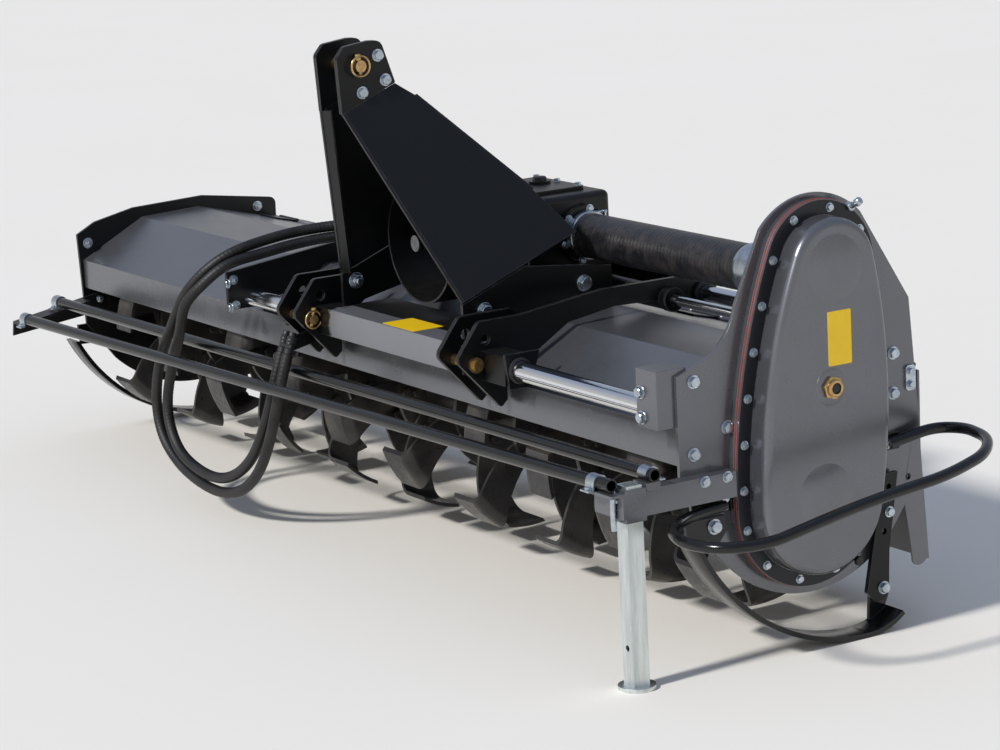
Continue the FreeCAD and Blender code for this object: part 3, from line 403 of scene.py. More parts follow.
@dataclass(frozen=True)
class Concrete(Finish):
    """A power-floated concrete floor: troweled smooth, then cured pale.

    To the eye that is one pale tone with clouds a metre or two across.
    """

    colour: str = "#efe8dc"
    light_colour: str = "#f3ede3"

    def shade(self, tree: bpy.types.NodeTree) -> bpy.types.Node:
        """Faint clouds under a dry matt face."""
        place = add_node(tree, "ShaderNodeTexCoord").outputs["Object"]
        clouds = add_node(tree, "ShaderNodeTexNoise", {
            "Vector": place, "Scale": per_metre(1500), "Detail": 7.0, "Roughness": 0.6})
        colour = add_node(tree, "ShaderNodeMix", {
            "Factor": clouds, "A": linear(self.colour), "B": linear(self.light_colour)}, data_type="RGBA")
        return add_node(tree, "ShaderNodeBsdfPrincipled", {"Base Color": colour, "Roughness": 0.85})


@cache
def made(finish: Finish) -> bpy.types.Material:
    """The material of a finish, built once."""
    material = bpy.data.materials.new(finish.name)
    material.use_nodes = True
    tree = material.node_tree
    tree.nodes.clear()
    add_node(tree, "ShaderNodeOutputMaterial", {"Surface": finish.shade(tree)})
    return material


SILVER_COAT = PowderCoat("silver-grey metallic powder coat", "#737478", metallic=0.74, roughness=0.26,
                         dust=0.05, edge_wear_and_highlight=0.4, scuffs=(((-1125, 299, 550), 60), ((590, 340, 552), 90)))
TUBE_COAT = PowderCoat("silver-grey coat with black overspray at its ends", "#7e7f83", metallic=0.5,
                       roughness=0.34, dust=0.04, edge_wear_and_highlight=0.3, bare_run=(84, 640))
BLACK_COAT = PowderCoat("black powder coat", BLACK_PAINT, roughness=0.33, dust=0.025, edge_wear_and_highlight=0.4,
                        specular=0.35)
GLOSS_ENAMEL = PowderCoat("black gloss enamel", "#060709", roughness=0.18, dust=0.02, edge_wear_and_highlight=0.3)
# Painted shade: a near-black band laid over the gear cover's flange stands for the shade in the recess
# between the pan and the side plate.
FLANGE_SHADE = PowderCoat("painted shade on the cover's flange", "#14171d", roughness=0.3, dust=0.02,
                         edge_wear_and_highlight=0.2, specular=0.4)
BOARD_COAT = PowderCoat("silver-grey powder coat on the board", "#7c7c7f", metallic=0.5, roughness=0.45,
                        dust=0.12, edge_wear_and_highlight=0.4)
CHROME = Chrome("hard chrome on ground bar")
ZINC = Plating("bright zinc plate", "#c9d0d6", "#a9b4bd")
GALVANISED = Plating("streaky zinc plate on tube", "#e6ebea", "#c6cecc", roughness=0.42, drift_mm=18,
                     streak=0.12)
YELLOW_ZINC = Plating("yellow-passivated zinc plate", "#d6bd7c", "#b98e68", roughness=0.3, drift_mm=9)
# Painted shade: the bright steel is darkened so that the drive stub looks as dark as it does in the shade
# inside its guard.
SHADE_DARKENED_STEEL = Plating("bright steel darkened as painted shade", "#76777a", "#5c5b5b", roughness=0.3, drift_mm=9)
DIPPED_STEEL = WornSteel("black-dipped spring steel")
SLEEVE_RUBBER = Moulded("ribbed rubber sleeve", "#141519", "#473f3a", bloom=0.6, roughness=0.36)
HOSE_WRAP = Moulded("spiral hose wrap in black polyamide", "#060607", "#3c3531", bloom=0.35, roughness=0.5,
                    grain_mm=8)
BLACK_PLASTIC = Moulded("black moulded plastic", "#1a1a1c", "#333333", roughness=0.45)
YELLOW_VINYL = Moulded("yellow vinyl film", "#ffd21a", "#e8b90f", bloom=0.4, roughness=0.35, relief=0.05)
SEALANT = Moulded("red silicone sealant", "#7c3a33", "#96605a", bloom=0.5, roughness=0.5)

SLOT_FINISH = {
    Slot.GREY: SILVER_COAT,
    Slot.BLACK: BLACK_COAT,
    Slot.CHROME: CHROME,
    Slot.ZINC: ZINC,
    Slot.GOLD: YELLOW_ZINC,
    Slot.BRIGHT: SHADE_DARKENED_STEEL,
    Slot.ROTOR: DIPPED_STEEL,
    Slot.BOARD: BOARD_COAT,
    Slot.SLEEVE: SLEEVE_RUBBER,
    Slot.HOSE: HOSE_WRAP,
}
NODE_FINISH = {
    "stand_leg": GALVANISED,
    "carriage_tube": TUBE_COAT,
    "guard_tubes": GLOSS_ENAMEL,
    "side_guard": GLOSS_ENAMEL,
    "skid_left": GLOSS_ENAMEL,
    "skid_right": GLOSS_ENAMEL,
}
DEBURRED = (
    "hood", "left_side_plate", "right_side_plate", "gear_case", "bar_bracket", "guard_arm_right",
    "guard_arm_left", "shift_plate", "carriage_tube", "bush_plates", "lug_plates", "base_plates",
    "gearbox_bed", "rear_beam", "deck_plate", "tower_plates", "top_ears", "skid_left", "skid_right",
    "skid_straps", "levelling_board", "stand_leg")


def arc(centre: Pair, start: Pair, middle: Pair, end: Pair, step: float) -> list[Pair]:
    """Points on a circle from start through middle to end, without the end.

    Args:
        centre: The circle's centre.
        start: Where the arc starts.
        middle: A point that the arc passes.
        end: Where the arc ends.
        step: The longest run between two points.

    Returns:
        The points, evenly spaced.
    """
    angles = [math.atan2(p[1] - centre[1], p[0] - centre[0]) for p in (start, middle, end)]
    for i in (1, 2):
        angles[i] = angles[i - 1] + math.remainder(angles[i] - angles[i - 1], math.tau)
    radius = math.dist(centre, start)
    count = max(2, math.ceil(abs(angles[2] - angles[0]) * radius / step))
    turns = [angles[0] + (angles[2] - angles[0]) * i / count for i in range(count)]
    return [(centre[0] + radius * math.cos(a), centre[1] + radius * math.sin(a)) for a in turns]


def rounded_plate(width: float, height: float, radius: float) -> list[Pair]:
    """The outline of a rectangle about the origin with rounded corners."""
    outline = []
    for turn, (side, top) in enumerate(((1, 1), (-1, 1), (-1, -1), (1, -1))):
        middle = (side * (width / 2 - radius), top * (height / 2 - radius))
        for step in range(5):
            angle = (turn + step / 4) * math.pi / 2
            outline.append((middle[0] + radius * math.cos(angle), middle[1] + radius * math.sin(angle)))
    return outline


def strip_outline(points: Sequence[Pair], sheet: float) -> list[Pair]:
    """The outline of a bent strip whose inner face runs through the points.

    Args:
        points: The inner face's line.
        sheet: The strip's thickness, put on the left of the line's run.

    Returns:
        The closed outline.
    """
    outer = []
    for i, (a, b) in enumerate(points):
        before, after = points[max(i - 1, 0)], points[min(i + 1, len(points) - 1)]
        run = Vector((after[0] - before[0], after[1] - before[1])).normalized()
        outer.append((a - run.y * sheet, b + run.x * sheet))
    return list(points) + outer[::-1]


class Form:
    """A mesh in the making, in millimetres from the hood's middle front."""

    def __init__(self) -> None:
        """Starts with nothing in it."""
        self.mesh = bmesh.new()

    def skin(self, rings: Sequence[Sequence[Vector]], closed: bool = False) -> None:
        """Joins rings of points into a skin, capped at both ends unless it closes on itself.

        Args:
            rings: Rings with equally many points.
            closed: Whether the last ring joins the first.
        """
        rows = [[self.mesh.verts.new(point) for point in ring] for ring in rings]
        pairs = list(zip(rows, rows[1:] + rows[:1])) if closed else list(zip(rows, rows[1:]))
        for low, high in pairs:
            for i in range(len(low)):
                j = (i + 1) % len(low)
                self.mesh.faces.new((low[i], low[j], high[j], high[i]))
        if not closed:
            self.mesh.faces.new(rows[0][::-1])
            self.mesh.faces.new(rows[-1])

    def lathe(self, start: Vector, axis: Vector, profile: Sequence[Pair], sides: int = 24,
              closed: bool = False) -> None:
        """Turns a profile about an axis.

        Args:
            start: A point on the axis.
            axis: The axis's direction.
            profile: Pairs of the way along the axis and the radius there.
            sides: Points round the axis.
            closed: Whether the profile closes on itself, as a ring's does.
        """
        along = axis.normalized()
        across = along.orthogonal().normalized()
        third = along.cross(across)
        turns = [math.tau * i / sides for i in range(sides)]
        spokes = [across * math.cos(turn) + third * math.sin(turn) for turn in turns]
        self.skin([[start + along * way + spoke * radius for spoke in spokes] for way, radius in profile],
                  closed)

    def hexagon(self, start: Vector, axis: Vector, flats: float, height: float) -> None:
        """A hexagon with its corners turned off at the top.

        Args:
            start: The middle of its foot.
            axis: The way it points.
            flats: Its width across flats.
            height: Its height.
        """
        along = axis.normalized()
        across = along.orthogonal().normalized()
        third = along.cross(across)
        corner = flats / math.sqrt(3)
        rings = []
        for low, high, crown in ((0.0, 0.0, False), (0.8, 0.93, False), (1.0, 1.0, True)):
            ring = []
            for i in range(12):
                radius = 0.47 * flats if crown else (corner, flats / 2)[i % 2]
                turn = math.tau * i / 12
                ring.append(start + along * height * (low, high)[i % 2]
                            + (across * math.cos(turn) + third * math.sin(turn)) * radius)
            rings.append(ring)
        self.skin(rings)

    def bolt(self, foot: Vector, axis: Vector, size: float, stub: float = 0.0) -> None:
        """A bolt head on its washer, or a nut with the end of its bolt.

        Args:
            foot: The middle of the washer's foot.
            axis: The way the head points.
            size: The thread's diameter.
            stub: How far the thread stands out of the nut; 0 for a head.
        """
        along = axis.normalized()
        thick, rim = 0.17 * size, 1.12 * size
        self.lathe(foot, along, ((0, rim), (0.75 * thick, rim), (thick, rim - 0.3 * thick)), 20)
        self.hexagon(foot + along * thick, along, 1.55 * size, 0.66 * size)
        if stub:
            top = foot + along * (thick + 0.6 * size)
            self.lathe(top, along, ((0, size / 2), (stub, size / 2), (stub + 0.1 * size, 0.4 * size)), 14)

    def sweep(self, points: Sequence[Vector], radius: float | Callable[[float, float], float],
              sides: int = 12, closed: bool = False) -> None:
        """A tube along a line of points.

        Args:
            points: The line.
            radius: Its radius, or a rule that gives it from the way along and the turn round.
            sides: Points round the tube.
            closed: Whether the line closes on itself.
        """
        count = len(points)
        across, way, rings = None, 0.0, []
        for i, point in enumerate(points):
            before = points[i - 1] if closed or i else point
            after = points[(i + 1) % count] if closed or i + 1 < count else point
            run = (after - before).normalized()
            across = run.orthogonal() if across is None else across - run * across.dot(run)
            across.normalize()
            third = run.cross(across)
            if i:
                way += (point - points[i - 1]).length
            ring = []
            for k in range(sides):
                turn = math.tau * k / sides
                reach = radius if isinstance(radius, (int, float)) else radius(way, turn)
                ring.append(point + (across * math.cos(turn) + third * math.sin(turn)) * reach)
            rings.append(ring)
        self.skin(rings, closed)

    def slab(self, outline: Sequence[Pair], start: Vector, u: Vector, v: Vector, depth: float) -> None:
        """An outline thickened square to itself.

        Args:
            outline: Pairs of the way along u and v.
            start: The point where both are 0.
            u: The outline's first direction.
            v: Its second direction.
            depth: How far it is thickened along their common normal.
        """
        out = u.cross(v).normalized() * depth
        low = [start + u * a + v * b for a, b in outline]
        self.skin([low, [point + out for point in low]])

    def saddle(self, foot: Vector, along: Vector, up: Vector, radius: float, reach: float, width: float,
               drop: float, both: bool = True) -> None:
        """A clamp bent from strip over a tube, with a foot at each side or at one.

        Args:
            foot: The tube's centre at the middle of the clamp.
            along: The tube's direction.
            up: The way the clamp's crown points.
            radius: The tube's radius.
            reach: How far the feet reach from the tube's centre.
            width: The strip's width along the tube.
            drop: How far the feet lie below the tube's centre.
            both: Whether it also has the foot that lies against the product of up and along.
        """
        sheet, side = 3.0, up.cross(along).normalized()
        crown = [(radius * math.cos(a), radius * math.sin(a)) for a in
                 [math.pi * i / 14 for i in range(15)]]
        line = [(reach, -drop), (radius + 4, -drop), (radius + 1, -drop + 3)] + crown
        line += [(-radius - 1, -drop + 3), (-radius - 4, -drop), (-reach, -drop)] if both else []
        outline = strip_outline(line[::-1], sheet)
        self.slab(outline, foot - along * width / 2, side, up, width)

    def piece(self, name: str, finish: Finish, body: Body, slot: Slot, edge: float = 0.0,
              still: bool = True) -> bpy.types.Object:
        """Turns the form into an object of the scene.

        Args:
            name: The piece's name.
            finish: Its finish.
            body: The body it rides on.
            slot: The record's slot of the piece; it is not used.
            edge: The width of the bevel on its edges, in millimetres.
            still: Whether it rides on the body; a piece that does not is left on none.

        Returns:
            The object.
        """
        bmesh.ops.recalc_face_normals(self.mesh, faces=self.mesh.faces)
        mesh = bpy.data.meshes.new(name)
        self.mesh.to_mesh(mesh)
        self.mesh.free()
        mesh.transform(Matrix.Translation(ORIGIN) @ Matrix.Scale(MM, 4))
        mesh.shade_smooth()
        mesh.set_sharp_from_angle(angle=math.radians(38))
        mesh.materials.append(made(finish))
        obj = bpy.data.objects.new(name, mesh)
        bpy.context.scene.collection.objects.link(obj)
        if edge:
            soften(obj, edge)
        if still:
            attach(obj, body.value)
        LOG.info("%s: %d faces, on %s", name, len(mesh.polygons), body.value)
        return obj


def soften(obj: bpy.types.Object, width: float) -> None:
    """Breaks the sharp edges of an object with a narrow bevel, as deburring and paint do."""
    bevel = obj.modifiers.new("broken edges", "BEVEL")
    bevel.width = width * MM
    bevel.segments = 2
    bevel.limit_method = "ANGLE"
    bevel.angle_limit = math.radians(40)
    bevel.harden_normals = True


Bolts = tuple[tuple[Triple, float], ...]


def fasten(name: str, groups: Sequence[tuple[Bolts, Vector, float]], body: Body) -> None:
    """Makes one zinc-plated piece of the bolts of several faces.

    Args:
        name: The piece's name.
        groups: For each face its bolts as (place, thread), their direction and the thread's stub.
        body: The body they ride on.
    """
    form = Form()
    for bolts, axis, stub in groups:
        for place, size in bolts:
            form.bolt(Vector(place), axis, size, stub)
    form.piece(name, ZINC, body, Slot.ZINC)


@dataclass
class Studio:
    """The floor, the light and the camera at the photograph's place."""

    azimuth: float = 58.484
    elevation: float = 12.044
    roll: float = -2.962
    lens: float = 115.22
    eye: Triple = (6089.4, -3321.8, 1818.9)
    sun_from: Triple = (0.05, -0.78, 0.62)
    sun_width: float = 6.0
    sun_strength: float = 3.1
    sky_strength: float = 0.62
    zenith: str = "#b3c5e6"
    horizon: str = "#f6f3ee"
    floor_half: float = 40.0

    def camera(self) -> None:
        """Sets the camera up and makes it the scene's."""
        a, e, r = (math.radians(angle) for angle in (self.azimuth, self.elevation, self.roll))
        back = Vector((math.sin(a) * math.cos(e), -math.cos(a) * math.cos(e), math.sin(e)))
        side = Vector((math.cos(a), math.sin(a), 0.0))
        up = back.cross(side)
        turned_side = side * math.cos(r) + up * math.sin(r)
        turned_up = up * math.cos(r) - side * math.sin(r)
        data = bpy.data.cameras.new("camera")
        data.lens = self.lens
        data.sensor_width = 36.0
        data.clip_end = 200.0
        obj = bpy.data.objects.new("camera", data)
        bpy.context.scene.collection.objects.link(obj)
        obj.matrix_world = Matrix.Translation(row(*self.eye)) @ Matrix(
            (turned_side, turned_up, back)).transposed().to_4x4()
        bpy.context.scene.camera = obj

    def light(self) -> None:
        """A broad lamp high in front and a sky that fills in from all sides."""
        data = bpy.data.lights.new("key", "SUN")
        data.energy = self.sun_strength
        data.angle = math.radians(self.sun_width)
        lamp = bpy.data.objects.new("key", data)
        bpy.context.scene.collection.objects.link(lamp)
        lamp.rotation_euler = Vector(self.sun_from).to_track_quat("Z", "Y").to_euler()
        world = bpy.data.worlds.new("sky")
        bpy.context.scene.world = world
        world.use_nodes = True
        tree = world.node_tree
        tree.nodes.clear()
        way = add_node(tree, "ShaderNodeTexCoord").outputs["Generated"]
        height = add_node(tree, "ShaderNodeSeparateXYZ", {"Vector": way}).outputs["Z"]
        share = add_node(tree, "ShaderNodeMapRange", {"Value": height, "From Min": 0.0, "From Max": 0.7},
                         interpolation_type="SMOOTHSTEP")
        colour = add_node(tree, "ShaderNodeMix", {
            "Factor": share, "A": linear(self.horizon), "B": linear(self.zenith)}, data_type="RGBA")
        sky = add_node(tree, "ShaderNodeBackground", {"Color": colour, "Strength": self.sky_strength})
        add_node(tree, "ShaderNodeOutputWorld", {"Surface": sky})

    def floor(self) -> None:
        """A plain pale floor at the height of the skids."""
        half = self.floor_half
        corners = [(-half, -half, 0), (half, -half, 0), (half, half, 0), (-half, half, 0)]
        mesh = bpy.data.meshes.new("floor")
        mesh.from_pydata(corners, [], [(0, 1, 2, 3)])
        mesh.materials.append(made(Concrete("pale floated concrete")))
        obj = bpy.data.objects.new("floor", mesh)
        bpy.context.scene.collection.objects.link(obj)


@dataclass
class ShiftHoses:
    """The two hydraulic hoses of the side shift, from the cylinder's ports to their holder."""

    diameter: float = 25.0
    wrap_pitch: float = 9.5
    wrap_depth: float = 0.5
    ring_step: float = 2.2
    outer_route: tuple[Triple, ...] = (
        (120, 395, 660), (35, 395, 660), (-75, 370, 652), (-185, 315, 644), (-278, 248, 638),
        (-336, 165, 633), (-362, 80, 625), (-366, 0, 613), (-370, -50, 602), (-382, -88, 584),
        (-402, -118, 558), (-428, -140, 527), (-460, -153, 490), (-507, -159, 424), (-562, -160, 362),
        (-605, -160, 290), (-618, -162, 215), (-590, -165, 145), (-515, -165, 95), (-410, -165, 68),
        (-300, -165, 62), (-195, -165, 85), (-110, -165, 140), (-50, -165, 215), (-15, -160, 300),
        (-3.5, -147.4, 368.6), (-3.5, -127, 425))
    inner_route: tuple[Triple, ...] = (
        (82, 395, 632), (-5, 395, 632), (-105, 366, 625), (-200, 312, 618), (-280, 246, 612),
        (-328, 165, 609), (-347, 80, 600), (-352, 5, 589), (-352, -67, 581), (-361, -106, 563),
        (-378, -134, 536), (-402, -155, 508), (-431, -165, 477), (-482, -156, 394), (-536, -152, 326),
        (-566, -156, 250), (-562, -160, 200), (-540, -162, 157), (-505, -164, 127), (-457, -165, 108),
        (-372, -165, 93), (-285, -165, 98), (-200, -165, 128), (-125, -165, 180), (-74, -164, 245),
        (-43, -158, 308), (-31.5, -147.4, 368.6), (-31.5, -127, 425))
    lengths: Pair = (2.166, 1.990)
    coupler_top: Pair = (-110, 472)
    ports: tuple[Triple, ...] = ((112, 395, 592), (150, 395, 592))

    def line(self, name: str, route: Sequence[Triple]) -> list[Vector]:
        """Reads the smooth line of a route.

        Args:
            name: The hose's name.
            route: Its control points.

        Returns:
            Points along the NURBS line, in the row frame.
        """
        data = bpy.data.curves.new(name, "CURVE")
        data.dimensions = "3D"
        spline = data.splines.new("NURBS")
        spline.points.add(len(route) - 1)
        for knot, place in zip(spline.points, route):
            knot.co = (*row(*place), 1.0)
        spline.order_u = 3
        spline.use_endpoint_u = True
        spline.resolution_u = 24
        obj = bpy.data.objects.new(name, data)
        mesh = bpy.data.meshes.new_from_object(obj)
        points = [vertex.co.copy() for vertex in mesh.vertices]
        bpy.data.objects.remove(obj)
        bpy.data.meshes.remove(mesh)
        return points

    def even(self, points: Sequence[Vector]) -> list[Vector]:
        """Spaces points evenly along a line, a wrap's fraction apart, in millimetres from the hood."""
        spaced, left = [points[0]], self.ring_step * MM
        for start, end in zip(points, points[1:]):
            run = end - start
            while run.length >= left > 0:
                start = start + run.normalized() * left
                spaced.append(start)
                run, left = end - start, self.ring_step * MM
            left -= run.length
        spaced.append(points[-1])
        return [(point - ORIGIN) / MM for point in spaced]

    def wrapped(self, way: float, turn: float) -> float:
        """The radius of the hose's spiral wrap at a way along it and a turn round it."""
        phase = way / self.wrap_pitch - turn / math.tau
        return self.diameter / 2 - self.wrap_depth * max(0.0, math.cos(math.tau * phase)) ** 2

    def coupler(self, name: str, foot: Triple) -> bpy.types.Object:
        """A quick coupler at a hose's end, with its ferrule, hexagon and knurled collar."""
        start = Vector(foot)
        axis = Vector((start.x, *self.coupler_top)) - start
        form = Form()
        form.lathe(start, axis, ((0, 9.5), (1, 10.5), (12, 10.5), (13, 9.0), (15, 8.0)), 20)
        form.hexagon(start + axis.normalized() * 14, axis, 18, 9)
        form.lathe(start + axis.normalized() * 22, axis,
                   ((0, 8.5), (1, 10.6), (4, 10.6), (5, 9.9), (6, 10.6), (12, 10.6), (13, 9.9), (14, 10.6),
                    (17, 10.6), (18, 8.2), (26, 8.2), (27.5, 7.2)), 24)
        piece = form.piece(name, BLACK_PLASTIC, Body.HEADSTOCK, Slot.BLACK)
        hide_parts(name)
        return piece

    def build(self) -> None:
        """Makes both hoses with their ferrules, couplers and port nuts."""
        routes = {"hose_outer": self.outer_route, "hose_inner": self.inner_route}
        for (name, route), length in zip(routes.items(), self.lengths):
            points = self.line(f"{name}_line", route)
            form = Form()
            form.sweep(self.even(points), self.wrapped, 16)
            hose = form.piece(name, HOSE_WRAP, Body.HEADSTOCK, Slot.HOSE)
            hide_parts(name)
            ferrule = Form()
            start = Vector(route[0])
            ferrule.lathe(start + X * 2, -X, ((0, 11), (1, 13.4), (26, 13.4), (27, 12.6)), 20)
            ferrule.hexagon(start + X, X, 20, 11)
            nut = ferrule.piece(f"{name}_ferrule", ZINC, Body.HEADSTOCK, Slot.ZINC)
            coupler = self.coupler(name.replace("hose", "hose_coupling"), route[-1])
        nuts = Form()
        for port in self.ports:
            nuts.hexagon(Vector(port), Z, 26, 12)
        nuts.piece("port_nuts", ZINC, Body.HEADSTOCK, Slot.ZINC)


@dataclass
class SidePlates:
    """What is bolted to the two side plates."""

    right_outer: Bolts = (
        ((RIGHT_FACE, 10, 551), 12), ((RIGHT_FACE, 83, 453), 12), ((RIGHT_FACE, 5, 413), 12),
        ((RIGHT_FACE, 482, 534), 12), ((RIGHT_FACE, 480, 455), 12), ((1368, 7, 366), 10),
        ((1368, 58, 367), 10), ((1346, 64, 321), 10), ((1346, 459, 360), 10))
    right_skid: Bolts = (((1346, 40, 270), 14), ((1356, 449, 227), 10), ((1356, 430, 78), 12))
    left_plate: Bolts = (((0, 16, 497), 12), ((0, 507, 530), 12), ((0, 35, 351), 12))
    left_inner: float = -1330.0
    sheet: float = 8.0
    adjuster: Triple = (RIGHT_FACE, 521, 480)

    def build(self) -> None:
        """Makes the bolts of both plates and the adjuster bracket."""
        inner = tuple(((self.left_inner, y, z), size) for (_, y, z), size in self.left_plate)
        outer = tuple(((self.left_inner - self.sheet, y, z), size) for (_, y, z), size in self.left_plate)
        mirrored = tuple(((-x, y, z), size) for (x, y, z), size in self.right_skid)
        fasten("right_plate_bolts", ((self.right_outer + self.right_skid, X, 0.0),), Body.HOUSING)
        fasten("left_plate_bolts", ((inner, X, 3.0), (outer, -X, 0.0)), Body.HOUSING)
        fasten("left_skid_bolts", ((mirrored, -X, 0.0),), Body.HOUSING)
        form = Form()
        form.slab(rounded_plate(24, 50, 7), Vector(self.adjuster), Y, Z, 5)
        for z in (13, -13):
            form.bolt(Vector(self.adjuster) + X * 5 + Z * z, X, 8)
        form.piece("adjuster_bracket", ZINC, Body.HOUSING, Slot.ZINC)


@dataclass
class GearCase:
    """The gear case's gasket, bolts, plugs, breather and blank label."""

    foot: Pair = (256, 290)
    head: Pair = (294, 733)
    low_radius: float = 172.0
    top_radius: float = 127.0
    side_radius: float = 1240.0
    bolt_pitch: float = 88.0
    bolt_inset: float = 15.0
    bolt_size: float = 8.0
    band_half: float = 14.0
    shade_lift: float = 0.4
    plug: Pair = (273, 511)
    drain: Pair = (363, 147)
    breather: Pair = (368, 838)
    label_middle: Pair = (296, 603)
    label_size: Pair = (55, 104)

    def outline(self, inside: float, step: float) -> list[Pair]:
        """The case's outline seen from the right, anticlockwise from its lower front.

        Args:
            inside: How far inside the flange's edge it runs.
            step: The longest run between two points.

        Returns:
            Its points as (y, z).
        """
        low, top, side = self.low_radius - inside, self.top_radius - inside, self.side_radius - inside
        foot, head = Vector(self.foot), Vector(self.head)
        run = head - foot
        along = (run.length ** 2 + (side - low) ** 2 - (side - top) ** 2) / (2 * run.length)
        away = math.sqrt((side - low) ** 2 - along ** 2)
        run.normalize()
        ends = []
        for hand in (1, -1):
            centre = foot + run * along + Vector((run.y, -run.x)) * away * hand
            ends.append((centre, foot + (foot - centre).normalized() * low,
                         head + (head - centre).normalized() * top))
        (front, front_low, front_top), (back, back_low, back_top) = ends
        front_mid = front + ((front_low + front_top) / 2 - front).normalized() * side
        back_mid = back + ((back_low + back_top) / 2 - back).normalized() * side
        return (arc(front, front_low, front_mid, front_top, step)
                + arc(head, front_top, head + run * top, back_top, step)
                + arc(back, back_top, back_mid, back_low, step)
                + arc(foot, back_low, foot - run * low, front_low, step))

    def build(self) -> None:
        """Makes everything that dresses the gear case."""
        gasket = Form()
        for x, radius in ((1351.0, 1.5), (1358.2, 1.7)):
            gasket.sweep([Vector((x, y, z)) for y, z in self.outline(0.3, 9)], radius, 8, closed=True)
        gasket.piece("case_gasket", SEALANT, Body.HOUSING, Slot.GREY)
        # A thin dark band over the flange under the bolts: painted shade of the recess between the pan and
        # the side plate.
        middle = [Vector(point) for point in self.outline(self.bolt_inset, 9)]
        ring = []
        top = FLANGE_FACE + self.shade_lift
        for i, spot in enumerate(middle):
            run = (middle[(i + 1) % len(middle)] - middle[i - 1]).normalized()
            across = Vector((run.y, -run.x)) * self.band_half
            ring.append([Vector((x, *(spot + across * hand))) for x, hand in
                         ((FLANGE_FACE, 1), (top, 1), (top, -1), (FLANGE_FACE, -1))])
        band = Form()
        band.skin(ring, closed=True)
        band.piece("painted_flange_shade", FLANGE_SHADE, Body.HOUSING, Slot.BLACK)
        line = self.outline(self.bolt_inset, 2.0)
        step = round(len(line) / round(len(line) * 2.0 / self.bolt_pitch))
        bolts = tuple(((FLANGE_FACE, y, z), self.bolt_size) for y, z in line[step // 2::step])
        fasten("case_bolts", ((bolts, X, 0.0),), Body.HOUSING)
        self.build_plugs()

    def build_plugs(self) -> None:
        """The oil plug on its pressed seat, the drain plug, the breather and the label."""
        seat = Form()
        middle = Vector((PAN_FACE, *self.plug))
        seat.lathe(middle - X, X, ((0, 37), (1.5, 36), (2.6, 31)), 40)
        seat.piece("oil_plug_seat", SILVER_COAT, Body.HOUSING, Slot.GREY)
        plug = Form()
        plug.hexagon(middle + X * 2.4, X, 40, 7)
        plug.lathe(middle + X * 9, X, ((0, 17), (6, 17), (8, 15), (8, 11), (2, 10.5)), 30)
        plug.piece("oil_plug", YELLOW_ZINC, Body.HOUSING, Slot.GOLD)
        glass = Form()
        glass.lathe(middle + X * 10.9, X, ((0, 10.9), (3.4, 10.6), (4.2, 8.0)), 24)
        glass.piece("oil_plug_eye", BLACK_PLASTIC, Body.HOUSING, Slot.BLACK)
        drain = Form()
        drain.hexagon(Vector((FLANGE_FACE, *self.drain)), X, 17, 8)
        drain.piece("drain_plug", BLACK_PLASTIC, Body.HOUSING, Slot.BLACK)
        breather = Form()
        nipple = Vector((FLANGE_FACE - 4, *self.breather))
        breather.hexagon(nipple, X, 17, 11)
        breather.lathe(nipple + X * 10, X + Z * 0.7 + Y * 0.3,
                       ((0, 5), (10, 5), (12, 8), (22, 8), (24, 6.5)), 18)
        breather.piece("breather", ZINC, Body.HOUSING, Slot.ZINC)
        label = Form()
        label.slab(rounded_plate(*self.label_size, 3), Vector((PAN_FACE, *self.label_middle)), Y, Z, 0.5)
        label.piece("case_label", YELLOW_VINYL, Body.HOUSING, Slot.GOLD)


@dataclass
class GuideBars:
    """What holds and wipes the guide bars and the cylinder's rod."""

    bracket_bolts: Bolts = (((1279, -68, 535), 12), ((1281, -68, 487), 12))
    shift_edge: Bolts = (((-346, -88, 533), 10), ((-338, -88, 478), 10))
    shift_face: Bolts = (((-350, -72, 539), 10), ((-350, -70, 479), 10), ((-350, 300, 573), 10),
                         ((-350, 470, 532), 10))
    front_bar: Pair = (-35, 498)
    plate_faces: Pair = (HEAD_X - 456, HEAD_X + 481)
    rear_bar: Pair = (485, 570)
    lug_faces: Pair = (HEAD_X - 385.5, HEAD_X + 385.5)
    gland: Triple = (HEAD_X + 410, 395, 570)

    def build(self) -> None:
        """Makes the bolts of both ends, the wipers and the rod's gland nut."""
        fasten("bar_bracket_bolts", ((self.bracket_bolts, -Y, 0.0),), Body.HOUSING)
        fasten("shift_plate_bolts", ((self.shift_edge, -Y, 0.0), (self.shift_face, X, 4.0)), Body.HOUSING)
        wipers = Form()
        for x, axis in zip(self.plate_faces, (-X, X)):
            wipers.lathe(Vector((x, *self.front_bar)), axis,
                         ((0, 21.5), (0, 27), (4, 27), (5.5, 25.5), (6.5, 21.5)), 36, closed=True)
        for x, axis in zip(self.lug_faces, (-X, X)):
            wipers.lathe(Vector((x, *self.rear_bar)), axis,
                         ((0, 18.5), (0, 26), (8, 26), (10, 24), (11, 18.5)), 36, closed=True)
        wipers.piece("bar_wipers", BLACK_PLASTIC, Body.HEADSTOCK, Slot.BLACK)
        gland = Form()
        gland.lathe(Vector(self.gland), -X,
                    ((0, 12), (0, 23), (2, 26), (18, 26), (20, 24.6), (24, 24.6), (24, 20)), 36)
        gland.piece("gland_nut", BLACK_COAT, Body.HEADSTOCK, Slot.BLACK)


